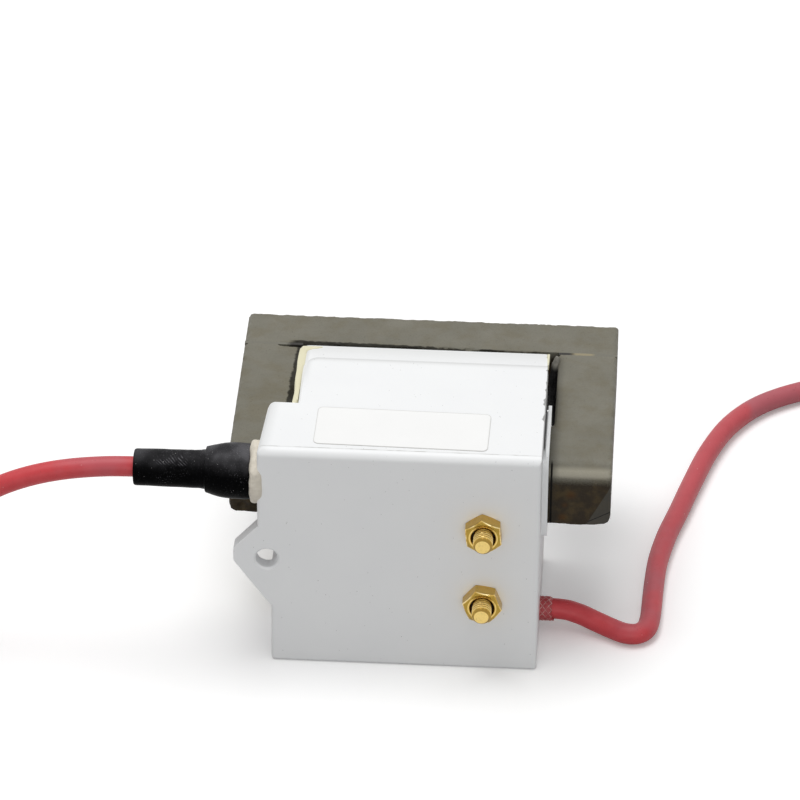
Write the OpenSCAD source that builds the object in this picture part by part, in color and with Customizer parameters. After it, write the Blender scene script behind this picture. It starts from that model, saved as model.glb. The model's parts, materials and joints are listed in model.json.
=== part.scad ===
// Potted flyback transformer: a white case round one limb of a ferrite ring, with brass
// terminal studs in front, a high-voltage lead at the left and a return lead at the right.
// The origin is the middle of the case's base. +X is right, +Y is back and +Z is up.

/* [Case] */
// Width of the case at its base
case_w = 54; // [52:0.5:60]
// Depth of the case, front to back
case_d = 40; // [38:0.5:44]
// Height of the case
case_h = 51.3; // [50.5:0.1:56]
// Thickness of the case's walls
wall = 2.2; // [1.6:0.1:2.6]
// How far the head of the front block stands out at the left
head_overhang = 2.8; // [1.5:0.1:5]
// Depth of the front block at the left
head_depth = 18.2; // [16:0.1:22]
// Height of the underside of the head
head_bottom = 31; // [28:0.5:34]
// Inset of the coil part's left side from the base's left side
coil_inset = 4.2; // [3.5:0.1:5]
// Rounding of the case's edges
edge_r = 0.8; // [0.3:0.1:1.2]
// Rounding of the top edge over the front face
top_edge_r = 1.8; // [1:0.1:3]
// Rounding of the head's left edges
head_r = 2.4; // [1:0.1:4]
// Depth of the ledge along the top's back edge
ledge_d = 5.2; // [2:0.1:6]
// Height of the step down to the ledge
ledge_h = 0.5; // [0.3:0.1:1.2]

/* [Mounting ear] */
// Reach of the ear past the base's left side
ear_reach = 7.6; // [6:0.1:10]
// Thickness of the ear
ear_t = 3; // [2:0.1:4]
// Height of the ear's hole above the base
ear_z = 25; // [22:0.5:28]
// Height of the ear's tip above its hole
ear_tip_up = 0.9; // [0:0.1:2]
// Drop of the ear's foot below its hole
ear_foot = 11.5; // [9:0.5:14]
// Rise of the ear's shoulder above its hole
ear_rise = 7.8; // [6:0.1:9]
// Distance of the hole's axis outside the base's left side
ear_hole_out = 0.85; // [0.5:0.05:2.5]
// Diameter of the ear's hole
ear_hole_d = 4.5; // [3.2:0.1:5]

/* [Core] */
// Gap between the coil part's left side and the left leg
core_gap_left = 1.5; // [1.4:0.1:2.5]
// Gap between the case's right side and the right leg
core_gap_right = 1.8; // [1.6:0.1:2.5]
// Thickness of the core, top to bottom
core_t = 14.6; // [12:0.1:15]
// Width of the core's side legs
leg_w = 12.1; // [9:0.1:12.3]
// Depth of the front yoke
yoke_d = 14.6; // [11:0.1:15]
// Length of the legs behind the yoke
leg_l = 26.3; // [24:0.1:34]
// Depth of the closing bar
bar_d = 11.2; // [10:0.1:16]
// Thickness of the gap shims
gap_t = 0.8; // [0.3:0.1:1.5]
// Depth of the core's underside below the case's top
core_drop = 23.1; // [22.5:0.1:24]
// Distance of the yoke's front from the case's front
core_setback = 11.5; // [11.3:0.1:12.5]
// Rounding of the yoke's top front edge
yoke_r = 4; // [1:0.5:5]
// Size of the glue beads
glue_w = 2.4; // [1.5:0.1:3.5]

/* [Coil] */
// Clearance between the yoke and its tunnel
core_clear = 0.4; // [0.2:0.1:0.6]
// Wall of the coil former
former_wall = 1.2; // [0.8:0.1:1.4]
// Thickness of the former's end flange
flange_t = 1.4; // [0.8:0.1:1.5]
// Width of the flange beside and below the yoke
flange_w = 1.4; // [1.3:0.1:2.5]
// Width of the flange above the yoke
flange_top_w = 2.8; // [1.5:0.1:4]
// Thickness of the primary winding
primary_t = 1.2; // [0.6:0.1:1.4]
// Clearance between the primary winding and the bobbin
bobbin_clear = 0.2; // [0.1:0.05:0.3]
// Wall of the secondary bobbin
bobbin_wall = 0.7; // [0.5:0.1:0.9]
// Thickness of the secondary winding
secondary_t = 2; // [1.5:0.1:2.1]
// Height of the bobbin's partitions above the winding
partition_lip = 0.4; // [0.2:0.1:0.5]
// Thickness of the bobbin's partitions
partition_t = 1; // [0.6:0.1:1.5]
// Number of sections of the bobbin
sections = 8; // [4:1:10]
// Distance of the bobbin from the coil part's ends
bobbin_margin = 3.8; // [3:0.1:5]
// Length of the primary winding past each end of the bobbin
primary_end = 1.5; // [1.2:0.1:1.6]
// Bulge of the resin past the coil part's left side
resin_bulge = 1.3; // [0.5:0.1:1.4]

/* [Terminals] */
// Diameter of the terminal studs
stud_d = 4; // [3:0.5:5]
// Reach of the studs past the front face
stud_reach = 6.1; // [5:0.1:12]
// Distance between the studs
stud_pitch = 17.1; // [14:0.1:19]
// Height of the lower stud
stud_z = 17; // [14:0.5:18]
// Distance of the studs from the case's right side
stud_inset = 11.2; // [9:0.1:14]
// Diameter of the studs' heads
stud_head_d = 8; // [7:0.5:9]
// Thickness of the studs' heads
stud_head_t = 2.2; // [1.5:0.1:2.3]
// Width across the nuts' flats
nut_af = 7; // [6:0.5:8]
// Thickness of the nuts
nut_t = 3; // [2:0.1:4]
// Clearance of the nuts' threads
nut_clear = 0.1; // [0.05:0.05:0.2]
// Turn of the upper nut
nut_turn_upper = 5.5; // [0:0.5:60]
// Turn of the lower nut
nut_turn_lower = 21; // [0:0.5:60]

/* [Label] */
// Width of the label
label_w = 34.9; // [20:0.1:40]
// Depth of the label
label_d = 13.3; // [8:0.1:14]
// Thickness of the label
label_t = 0.15; // [0.1:0.05:0.3]
// Distance of the label from the front face
label_setback = 2.8; // [2.5:0.1:8]
// Position of the label to the right of the middle
label_x = -1.2; // [-5:0.1:5]
// Turn of the label
label_turn = -0.9; // [-2:0.1:2]

/* [High voltage outlet] */
// Diameter of the high-voltage lead
hv_d = 4.2; // [3:0.1:4.5]
// Depth of the outlet's axis below the case's top
hv_drop = 8.8; // [8.5:0.1:10]
// Distance of the outlet's axis from the front face
hv_setback = 5.5; // [5:0.1:5.6]
// Diameter of the outlet spigot
spigot_d = 8.9; // [7:0.1:9.5]
// Diameter of the sealing collar
collar_d = 12.9; // [11:0.1:13]
// Thickness of the sealing collar
collar_t = 1.5; // [0.8:0.1:2.5]
// Diameter of the boot over the spigot
boot_d = 11.4; // [10.5:0.1:11.5]
// Length of the boot's wide part
boot_l = 9; // [6:0.5:14]
// Narrowing of the wide part's radius towards the neck
boot_taper = 1; // [0.5:0.1:1.2]
// Diameter of the boot's neck
neck_d = 7.4; // [6:0.1:8]
// Length of the boot's neck
neck_l = 13.4; // [8:0.1:18]
// Length of the boot's shoulder
shoulder_l = 1.2; // [0.5:0.1:2]

/* [Return lead] */
// Diameter of the return lead
return_d = 4.3; // [3:0.1:4.5]
// Height of the return lead's exit
return_z = 4.6; // [4.4:0.1:6]
// Distance of the return lead's exit from the front face
return_setback = 15.5; // [13:0.5:18]
// Diameter of the sleeve at the exit
sleeve_d = 5.2; // [4.8:0.1:6]
// Length of the sleeve
sleeve_l = 3.5; // [2:0.5:6]

/* [Rectifier and wires] */
// Diameter of the rectifier stick
rectifier_d = 6; // [4:0.5:6]
// Length of the rectifier stick
rectifier_l = 24; // [16:1:26]
// Diameter of the inner wires
wire_d = 0.9; // [0.5:0.1:1]

/* [Hidden] */
$fn = 48;
round_steps = 5;
past = 1;

left_x = -case_w / 2;
right_x = case_w / 2;
front_y = -case_d / 2;
back_y = case_d / 2;
head_left = left_x - head_overhang;
head_back = front_y + head_depth;
coil_left = left_x + coil_inset;
resin_left = coil_left - resin_bulge;

yoke_front = front_y + core_setback;
yoke_back = yoke_front + yoke_d;
leg_end = yoke_back + leg_l;
bar_front = leg_end + gap_t;
core_left = coil_left - core_gap_left - leg_w;
core_right = right_x + core_gap_right + leg_w;
core_z = case_h - core_drop;
core_top = core_z + core_t;
axis_y = yoke_front + yoke_d / 2;
axis_z = core_z + core_t / 2;

// Distances of the coil's layers from the yoke's surface
former_in = core_clear;
former_out = former_in + former_wall;
primary_out = former_out + primary_t;
bobbin_in = primary_out + bobbin_clear;
bobbin_out = bobbin_in + bobbin_wall;
secondary_out = bobbin_out + secondary_t;
partition_out = secondary_out + partition_lip;
coil_mid = (coil_left + right_x - wall) / 2;
bobbin_x0 = coil_left + bobbin_margin;
bobbin_l = right_x - wall - bobbin_margin - bobbin_x0;
section_l = (bobbin_l - partition_t) / sections;
secondary_bottom = axis_z - core_t / 2 - secondary_out;
primary_front = axis_y - yoke_d / 2 - primary_out;

hv_y = front_y + hv_setback;
hv_z = case_h - hv_drop;
hv_inner_x = head_left + 2 * wall;
chamber_back = yoke_front - former_out - bobbin_wall;
chamber_bottom = hv_z - spigot_d / 2 - wire_d;
spigot_l = collar_t + boot_l - 2 * shoulder_l;
return_y = front_y + return_setback;
return_inner_x = right_x - 2 * wall;

stud_x = right_x - stud_inset;
link_y = front_y + wall + stud_head_t / 2;
rectifier_y = 3;
rectifier_z = (wall + secondary_bottom) / 2;
primary_x1 = bobbin_x0 + bobbin_l + primary_end;
primary_x0 = bobbin_x0 - primary_end;

// Routes of the inner wires, in runs along the axes
hv_wire_x = coil_left + wire_d;
section_first_x = bobbin_x0 + (section_l + partition_t) / 2;
section_last_x = section_first_x + (sections - 1) * section_l;
primary_wire_x0 = primary_x0 + wire_d;
primary_wire_x1 = primary_x1 - wire_d;
stud_top_z = stud_z + stud_pitch;
hv_wire = [
    [coil_mid - rectifier_l / 2, rectifier_y, rectifier_z], [hv_wire_x, rectifier_y, rectifier_z],
    [hv_wire_x, hv_y, rectifier_z], [hv_wire_x, hv_y, hv_z], [hv_inner_x, hv_y, hv_z]
];
secondary_wire = [
    [coil_mid + rectifier_l / 2, rectifier_y, rectifier_z], [section_last_x, rectifier_y, rectifier_z],
    [section_last_x, rectifier_y, secondary_bottom]
];
return_wire = [
    [section_first_x, return_y, secondary_bottom], [section_first_x, return_y, return_z],
    [return_inner_x, return_y, return_z]
];
primary_wire_upper = [
    [stud_x + stud_head_d / 2, link_y, stud_top_z], [primary_wire_x1, link_y, stud_top_z],
    [primary_wire_x1, primary_front, stud_top_z]
];
primary_wire_lower = [
    [stud_x - stud_head_d / 2, link_y, stud_z], [primary_wire_x0, link_y, stud_z],
    [primary_wire_x0, link_y, axis_z], [primary_wire_x0, primary_front, axis_z]
];

// Routes of the leads, from the inside of the case
hv_route = [
    [hv_inner_x, hv_y, hv_z], [-40, hv_y, hv_z], [-55, hv_y, hv_z], [-62.5, -14.5, 42.1], [-70, -14.6, 41],
    [-77, -14.7, 39], [-83.5, -14.9, 36], [-89.5, -15.2, 31.8], [-95, -15.5, 26.6], [-100.5, -15.8, 20.9],
    [-106.5, -16.2, 15.4], [-113, -16.6, 10.9], [-120, -16.9, 7.7], [-125, -17, 6.6]
];
return_route = [
    [return_inner_x, return_y, return_z], [31, return_y, return_z], [35, -4.9, 3.9], [38.8, -6, 2.8],
    [42.2, -7.5, 2.2], [44.8, -8.8, 2.15], [47.2, -8.8, 2.15], [48.9, -7.1, 2.15], [49.6, -4.3, 2.15],
    [49.9, -0.4, 2.15], [50.1, 5, 2.15], [50.4, 11, 2.15], [51, 18, 2.15], [52.6, 27, 2.15], [54.9, 36, 2.15],
    [57.6, 47, 2.15], [60.9, 59, 2.15], [65.2, 69.5, 2.15], [71.5, 78, 2.15], [80, 84, 2.15], [89.5, 87.6, 2.15],
    [99.5, 89.5, 2.15]
];
// Coil of the high-voltage lead's spare length: two turns wide and two high
coil_r = 22;
coil_section = 2 * hv_d;
coil_centre = [-139.5, 7, 0];

// Outlines with rounded corners: each point is [x, y, radius]
function unit(v) = v / norm(v);
function corner(a, p, b, r) =
    r <= 0 ? [p] :
    let (
        u = unit(a - p),
        w = unit(b - p),
        half = acos(u * w) / 2,
        c = p + unit(u + w) * r / sin(half),
        s = p + u * r / tan(half) - c,
        e = p + w * r / tan(half) - c,
        start = atan2(s.y, s.x),
        turn = (atan2(e.y, e.x) - start + 540) % 360 - 180
    )
    [for (i = [0:round_steps])
        let (angle = start + turn * i / round_steps)
        c + r * [cos(angle), sin(angle)]];
function flat(p) = [p.x, p.y];
function rounded(points) =
    let (n = len(points))
    [for (i = [0:n - 1])
        each corner(flat(points[(i + n - 1) % n]), flat(points[i]), flat(points[(i + 1) % n]), points[i].z)];
function box_points(x0, x1, y0, y1, r) = [[x0, y0, r], [x1, y0, r], [x1, y1, r], [x0, y1, r]];

module outline(points) {
    polygon(rounded(points));
}

// Extrusions along each axis: the plane's own axes become YZ, XZ and XY
module along_x(x0, x1) {
    translate([x0, 0, 0]) rotate([90, 0, 90]) linear_extrude(x1 - x0) children();
}
module along_y(y0, y1) {
    translate([0, y1, 0]) rotate([90, 0, 0]) linear_extrude(y1 - y0) children();
}
module along_z(z0, z1) {
    translate([0, 0, z0]) linear_extrude(z1 - z0) children();
}
module block(x0, x1, y0, y1, z0, z1) {
    translate([x0, y0, z0]) cube([x1 - x0, y1 - y0, z1 - z0]);
}

// Loop round the yoke at a distance from its surface
module yoke_loop(grow, r) {
    outline(box_points(
        axis_y - yoke_d / 2 - grow, axis_y + yoke_d / 2 + grow,
        axis_z - core_t / 2 - grow, axis_z + core_t / 2 + grow, r
    ));
}
module coil_layer(x0, x1, inner, outer) {
    along_x(x0, x1) difference() {
        yoke_loop(outer, outer);
        yoke_loop(inner, inner);
    }
}

// Frame of the high-voltage outlet: Z runs out of the case's left side
module at_outlet() {
    translate([head_left, hv_y, hv_z]) rotate([0, -90, 0]) children();
}
// Frame of a stud: Z runs out of the front face
module at_stud(z) {
    translate([stud_x, front_y, z]) rotate([90, 0, 0]) children();
}
module at_ear() {
    translate([left_x - ear_hole_out, front_y, ear_z]) rotate([-90, 0, 0]) children();
}

// Case
module case_body() {
    intersection() {
        along_y(front_y, back_y) outline([
            [left_x, 0, edge_r], [right_x, 0, edge_r], [right_x, case_h, edge_r],
            [head_left, case_h, head_r], [head_left, head_bottom, edge_r],
            [left_x, head_bottom - head_overhang, edge_r]
        ]);
        along_x(head_left - past, right_x + past) outline([
            [front_y, 0, edge_r], [back_y, 0, edge_r], [back_y, case_h, edge_r], [front_y, case_h, top_edge_r]
        ]);
        along_z(-past, case_h + past) outline([
            [head_left, front_y, edge_r], [right_x, front_y, edge_r], [right_x, back_y, edge_r],
            [coil_left, back_y, edge_r], [coil_left, head_back, 0], [head_left, head_back, head_r]
        ]);
    }
}
module ledge_cut() {
    cut_y = back_y - 3 * ledge_d;
    along_z(case_h - ledge_h, case_h + past) difference() {
        outline(box_points(head_left - past, right_x + past, cut_y, back_y + past, 0));
        outline([
            [head_left - 2 * past, cut_y - past, 0], [right_x + 2 * past, cut_y - past, 0],
            [right_x + 2 * past, back_y - ledge_d, 0], [coil_left + ledge_h, back_y - ledge_d, ledge_d],
            [coil_left + ledge_h, cut_y + past, 0], [head_left - 2 * past, cut_y + past, 0]
        ]);
    }
}
module ear() {
    tip = 1.5;
    foot_r = 2;
    root = wall + past;
    tip_x = left_x - ear_reach;
    tip_z = ear_z + ear_tip_up;
    along_y(front_y, front_y + ear_t) outline([
        [left_x + root, ear_z - ear_foot, 0], [left_x, ear_z - ear_foot, foot_r],
        [tip_x, tip_z - tip, tip], [tip_x, tip_z + tip, tip],
        [head_left, ear_z + ear_rise, edge_r], [left_x + root, ear_z + ear_rise, 0]
    ]);
}
module ear_hole() {
    chamfer = 0.4;
    at_ear() {
        translate([0, 0, -past]) cylinder(d = ear_hole_d, h = ear_t + 2 * past);
        translate([0, 0, -past])
            cylinder(d1 = ear_hole_d + 2 * (chamfer + past), d2 = ear_hole_d, h = chamfer + past);
    }
}
module ear_groove() {
    groove_d = ear_hole_d + 0.7;
    at_ear() translate([0, 0, ear_t]) cylinder(d = groove_d, h = head_depth - ear_t + past);
}
module chambers() {
    block(coil_left, right_x - wall, front_y + wall, back_y - wall, wall, case_h - wall);
    block(coil_left - past, coil_left + past, head_back + wall, back_y - wall, wall, case_h - wall);
    block(head_left + wall, coil_left + past, front_y + wall, chamber_back, chamber_bottom, case_h - wall);
}
module tunnel() {
    along_x(head_left - past, right_x + past) yoke_loop(former_out, former_out);
}
module case() {
    color("#f2f1ee") difference() {
        union() {
            difference() {
                case_body();
                ledge_cut();
                ear_groove();
            }
            ear();
            at_outlet() translate([0, 0, -past]) cylinder(d = spigot_d, h = spigot_l + past);
        }
        chambers();
        tunnel();
        ear_hole();
        at_outlet() translate([0, 0, -wall - past]) cylinder(d = hv_d, h = wall + spigot_l + 2 * past);
        for (z = [stud_z, stud_top_z]) {
            at_stud(z) translate([0, 0, -wall - past]) cylinder(d = stud_d, h = wall + 2 * past);
        }
        translate([right_x - wall - past, return_y, return_z])
            rotate([0, 90, 0]) cylinder(d = return_d, h = wall + 2 * past);
    }
}

// Casting resin: fills the chambers round everything that is cast in
module potting_resin() {
    rim = 0.8;
    color("#dcd3b0") difference() {
        union() {
            intersection() {
                chambers();
                block(head_left, right_x, front_y, back_y, 0, case_h);
                union() {
                    block(coil_left, right_x, front_y, back_y, 0, case_h);
                    block(head_left, coil_left + past, front_y, chamber_back, 0, case_h);
                }
            }
            along_x(resin_left, coil_left) outline(
                box_points(head_back, back_y - rim, wall, case_h - ledge_h - rim, rim)
            );
        }
        tunnel();
        along_x(primary_x0, primary_x1) yoke_loop(primary_out, primary_out);
        along_x(bobbin_x0, bobbin_x0 + bobbin_l) yoke_loop(secondary_out, secondary_out);
        for (i = [0:sections]) {
            x = bobbin_x0 + i * section_l;
            along_x(x, x + partition_t) yoke_loop(partition_out, partition_out);
        }
        hv_rectifier();
        channel(hv_wire);
        channel(secondary_wire);
        channel(return_wire);
        channel(primary_wire_upper);
        channel(primary_wire_lower);
        terminal_stud_upper();
        terminal_stud_lower();
        translate([hv_inner_x, hv_y, hv_z]) rotate([0, -90, 0]) cylinder(d = hv_d, h = case_w);
        translate([return_inner_x, return_y, return_z]) rotate([0, 90, 0]) cylinder(d = return_d, h = case_w);
    }
}

// Core
module yoke_chip(side, reach, rise, depth) {
    e = 0.5;
    x = side > 0 ? core_right : core_left;
    a = reach * (1 + e / rise + e / depth);
    b = depth * (1 + e / reach + e / rise);
    c = rise * (1 + e / reach + e / depth);
    translate([x, yoke_front, core_z]) mirror([side > 0 ? 1 : 0, 0, 0])
        polyhedron(
            [[-e, -e, -e], [a, -e, -e], [-e, b, -e], [-e, -e, c]],
            [[0, 1, 2], [0, 3, 1], [0, 2, 3], [1, 3, 2]]
        );
}
module core_u() {
    edge = 0.6;
    inner = 2 * core_clear;
    color("#77756b") difference() {
        intersection() {
            along_z(core_z, core_top) outline([
                [core_left, yoke_front, edge], [core_right, yoke_front, edge], [core_right, leg_end, 0],
                [core_right - leg_w, leg_end, 0], [core_right - leg_w, yoke_back, inner],
                [core_left + leg_w, yoke_back, inner], [core_left + leg_w, leg_end, 0],
                [core_left, leg_end, 0]
            ]);
            along_x(core_left - past, core_right + past) outline([
                [yoke_front, core_z, edge], [leg_end + past, core_z, 0], [leg_end + past, core_top, 0],
                [yoke_front, core_top, yoke_r]
            ]);
        }
        yoke_chip(1, 4.7, 9.5, 2.6);
        yoke_chip(-1, 2.4, 3.6, 2.2);
    }
}
module core_bar() {
    edge = 0.5;
    color("#74726a") along_x(core_left, core_right) outline([
        [bar_front, core_z, 0], [bar_front + bar_d, core_z, edge],
        [bar_front + bar_d, core_top, edge], [bar_front, core_top, 0]
    ]);
}
module gap_shim(x0) {
    color("#3c3a35") block(x0, x0 + leg_w, leg_end, bar_front, core_z, core_top);
}
module gap_shim_left() {
    gap_shim(core_left);
}
module gap_shim_right() {
    gap_shim(core_right - leg_w);
}
// Glue in the window's back corners, level with the core's top
module glue_bead(x, side) {
    dip = glue_w / 3;
    along_z(core_top - 2 * glue_w, core_top) polygon([
        [x, bar_front], [x, bar_front - glue_w],
        [x + side * dip, bar_front - dip], [x + side * glue_w, bar_front]
    ]);
}
module core_glue() {
    color("#8f8d86") {
        glue_bead(core_left + leg_w, 1);
        glue_bead(core_right - leg_w, -1);
    }
}

// Coil
module coil_former() {
    flange_r = 4;
    flange_front = yoke_front - former_in - flange_w;
    flange_back = yoke_back + former_in + flange_w;
    flange_bottom = core_z - former_in - flange_w;
    flange_top = core_top + former_in + flange_top_w;
    color("#eceae4") {
        coil_layer(resin_left, right_x, former_in, former_out);
        along_x(right_x, right_x + flange_t) difference() {
            outline([
                [flange_front, flange_bottom, edge_r], [flange_back, flange_bottom, edge_r],
                [flange_back, flange_top, flange_r], [flange_front, flange_top, flange_r]
            ]);
            yoke_loop(former_in, former_in);
        }
    }
}
module primary_winding() {
    color("#b5713a") coil_layer(primary_x0, primary_x1, former_out, primary_out);
}
module secondary_bobbin() {
    color("#e3ddca") {
        coil_layer(bobbin_x0, bobbin_x0 + bobbin_l, bobbin_in, bobbin_out);
        for (i = [0:sections]) {
            x = bobbin_x0 + i * section_l;
            coil_layer(x, x + partition_t, bobbin_in, partition_out);
        }
    }
}
module secondary_winding() {
    color("#a8622f") for (i = [0:sections - 1]) {
        x = bobbin_x0 + i * section_l;
        coil_layer(x + partition_t, x + section_l, bobbin_out, secondary_out);
    }
}

// Rectifier and inner wires
module rod(a, b) {
    v = b - a;
    translate(a) rotate([0, acos(v.z / norm(v)), atan2(v.y, v.x)]) cylinder(d = wire_d, h = norm(v));
}
module wire(points) {
    color("#b87844") {
        for (i = [0:len(points) - 2]) rod(points[i], points[i + 1]);
        for (i = [1:len(points) - 2]) translate(points[i]) sphere(d = wire_d);
    }
}
// Square channel that a wire's straight runs leave in the resin
module channel(points) {
    r = wire_d / 2;
    for (i = [0:len(points) - 2]) {
        a = points[i];
        b = points[i + 1];
        block(
            min(a.x, b.x) - r, max(a.x, b.x) + r, min(a.y, b.y) - r, max(a.y, b.y) + r,
            min(a.z, b.z) - r, max(a.z, b.z) + r
        );
    }
}
module hv_rectifier() {
    color("#2c2a28") translate([coil_mid - rectifier_l / 2, rectifier_y, rectifier_z])
        rotate([0, 90, 0]) cylinder(d = rectifier_d, h = rectifier_l);
}
module hv_link() {
    wire(hv_wire);
}
module secondary_link() {
    wire(secondary_wire);
}
module return_link() {
    wire(return_wire);
}
module primary_link_upper() {
    wire(primary_wire_upper);
}
module primary_link_lower() {
    wire(primary_wire_lower);
}

// Terminals
module terminal_stud(z) {
    chamfer = 0.6;
    color("#c3a04e") at_stud(z) {
        translate([0, 0, -wall - stud_head_t]) cylinder(d = stud_head_d, h = stud_head_t);
        translate([0, 0, -wall]) cylinder(d = stud_d, h = wall + stud_reach - chamfer);
        translate([0, 0, stud_reach - chamfer])
            cylinder(d1 = stud_d, d2 = stud_d - 2 * chamfer, h = chamfer);
    }
}
module terminal_stud_upper() {
    terminal_stud(stud_top_z);
}
module terminal_stud_lower() {
    terminal_stud(stud_z);
}
module hex_nut(z, turn) {
    corner_r = nut_af / 2 / cos(30);
    chamfer = 0.45;
    face_r = nut_af / 2 - 0.1;
    waist_r = corner_r + 0.2;
    bore_d = stud_d + 2 * nut_clear;
    color("#c9a750") at_stud(z) difference() {
        intersection() {
            rotate(30 + turn) cylinder(r = corner_r, h = nut_t, $fn = 6);
            rotate_extrude() polygon([
                [0, 0], [face_r, 0], [waist_r, chamfer],
                [waist_r, nut_t - chamfer], [face_r, nut_t], [0, nut_t]
            ]);
        }
        translate([0, 0, -past]) cylinder(d = bore_d, h = nut_t + 2 * past);
        translate([0, 0, nut_t - chamfer])
            cylinder(d1 = bore_d, d2 = bore_d + 2 * (chamfer + past), h = chamfer + past);
    }
}
module hex_nut_upper() {
    hex_nut(stud_top_z, nut_turn_upper);
}
module hex_nut_lower() {
    hex_nut(stud_z, nut_turn_lower);
}

// Label
module label() {
    label_r = 1.2;
    half_w = label_w / 2;
    half_d = label_d / 2;
    color("#f8f7f3") translate([label_x, front_y + label_setback + half_d, case_h]) rotate(label_turn)
        linear_extrude(label_t) outline(box_points(-half_w, half_w, -half_d, half_d, label_r));
}

// High-voltage outlet
module outlet_collar() {
    bead = 0.5;
    color("#d9d0bf") at_outlet() rotate_extrude() polygon([
        [spigot_d / 2, 0], [collar_d / 2, 0], [collar_d / 2, collar_t - bead],
        [collar_d / 2 - bead, collar_t], [spigot_d / 2, collar_t]
    ]);
}
module heat_shrink_boot() {
    lip = 0.35;
    neck_z = collar_t + boot_l + shoulder_l;
    end_z = neck_z + neck_l;
    color("#1d1d1f") at_outlet() rotate_extrude() polygon([
        [spigot_d / 2, collar_t], [boot_d / 2 - lip, collar_t], [boot_d / 2, collar_t + lip],
        [boot_d / 2, collar_t + boot_l / 2], [boot_d / 2 - boot_taper / 3, collar_t + boot_l * 3 / 4],
        [boot_d / 2 - boot_taper, collar_t + boot_l], [neck_d / 2 + lip, neck_z - lip],
        [neck_d / 2, neck_z + lip], [neck_d / 2, end_z - lip],
        [neck_d / 2 - lip, end_z], [hv_d / 2, end_z], [hv_d / 2, spigot_l], [spigot_d / 2, spigot_l]
    ]);
}

// Leads
function heading(route, i) =
    unit(route[min(i + 1, len(route) - 1)] - route[max(i - 1, 0)]);
function lead_ring(p, t, d, sides) =
    let (u = unit(cross(t, [0, 0, 1])), w = cross(u, t))
    [for (k = [0:sides - 1]) p + d / 2 * (cos(360 * k / sides) * u + sin(360 * k / sides) * w)];
module lead(route, d, sides) {
    n = len(route);
    points = [for (i = [0:n - 1]) each lead_ring(route[i], heading(route, i), d, sides)];
    walls = [for (i = [0:n - 2], k = [0:sides - 1])
        let (a = i * sides + k, b = i * sides + (k + 1) % sides)
        each [[a, b, b + sides], [a, b + sides, a + sides]]];
    start = [for (k = [0:sides - 1]) sides - 1 - k];
    end = [for (k = [0:sides - 1]) (n - 1) * sides + k];
    color("#a8343a") polyhedron(points, concat(walls, [start, end]));
}
module hv_lead() {
    lead(hv_route, hv_d, 12);
}
module hv_lead_coil() {
    half = coil_section / 2;
    color("#a8343a") translate(coil_centre) rotate_extrude() outline(
        box_points(coil_r - half, coil_r + half, 0, coil_section, hv_d / 2)
    );
}
module return_sleeve() {
    color("#a65a52") translate([right_x, return_y, return_z]) rotate([0, 90, 0]) difference() {
        cylinder(d = sleeve_d, h = sleeve_l);
        translate([0, 0, -past]) cylinder(d = return_d, h = sleeve_l + 2 * past);
    }
}
module return_lead() {
    lead(return_route, return_d, 8);
}

case();
potting_resin();
core_u();
core_bar();
gap_shim_left();
gap_shim_right();
core_glue();
coil_former();
primary_winding();
secondary_bobbin();
secondary_winding();
hv_rectifier();
hv_link();
secondary_link();
return_link();
primary_link_upper();
primary_link_lower();
terminal_stud_upper();
terminal_stud_lower();
hex_nut_upper();
hex_nut_lower();
label();
outlet_collar();
heat_shrink_boot();
hv_lead();
hv_lead_coil();
return_sleeve();
return_lead();
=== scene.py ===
# %% [markdown]
# # A potted flyback transformer
# A white moulded case with its coil sits round one limb of a ferrite ring. Two brass studs stand out
# of its front, a thick high-voltage lead leaves at the left through a shrunk boot, and a return lead
# leaves at the right, low down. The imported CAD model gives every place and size, and this lesson
# models the surfaces again as a maker would by hand, then paints them with procedural finishes.

# %% Load the frame
import json
import math

import bmesh
import bpy
from mathutils import Matrix, Vector, noise

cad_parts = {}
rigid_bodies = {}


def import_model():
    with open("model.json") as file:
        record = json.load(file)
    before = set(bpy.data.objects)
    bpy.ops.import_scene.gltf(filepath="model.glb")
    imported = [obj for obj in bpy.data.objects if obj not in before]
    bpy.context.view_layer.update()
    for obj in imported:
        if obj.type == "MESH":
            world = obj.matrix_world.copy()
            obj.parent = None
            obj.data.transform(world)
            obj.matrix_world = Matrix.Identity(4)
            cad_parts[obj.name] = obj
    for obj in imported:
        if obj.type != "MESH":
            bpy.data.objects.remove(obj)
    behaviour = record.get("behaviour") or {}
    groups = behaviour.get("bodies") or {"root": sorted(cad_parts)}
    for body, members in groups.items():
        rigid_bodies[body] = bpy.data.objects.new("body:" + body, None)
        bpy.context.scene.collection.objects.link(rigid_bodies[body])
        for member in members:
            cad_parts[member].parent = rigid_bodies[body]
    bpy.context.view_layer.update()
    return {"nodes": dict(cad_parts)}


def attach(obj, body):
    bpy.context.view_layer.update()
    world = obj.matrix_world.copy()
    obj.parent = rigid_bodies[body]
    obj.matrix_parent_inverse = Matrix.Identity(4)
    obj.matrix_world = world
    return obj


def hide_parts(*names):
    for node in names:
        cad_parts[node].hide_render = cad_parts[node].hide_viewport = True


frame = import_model()
nodes = frame["nodes"]
MM = 0.001

# %% [markdown]
# ## The camera
# A long lens looks down on the front at about 33 degrees. Its turn, distance and offset come from
# matching corners of the case and the core with the picture, so the view is given as three angles,
# a distance and two slides from a point near the middle of the case.

# %% Camera
LENS_PX, VIEW_PX, SENSOR_MM = 5628.5, 800, 36.0
AIM_MM = Vector((2, 0, 25))
PITCH, YAW, ROLL = (math.radians(a) for a in (33.272, -3.051, 0.520))
DISTANCE_MM, SLIDE_RIGHT_MM, SLIDE_UP_MM = 1148.9, 4.309, -22.172

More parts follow.
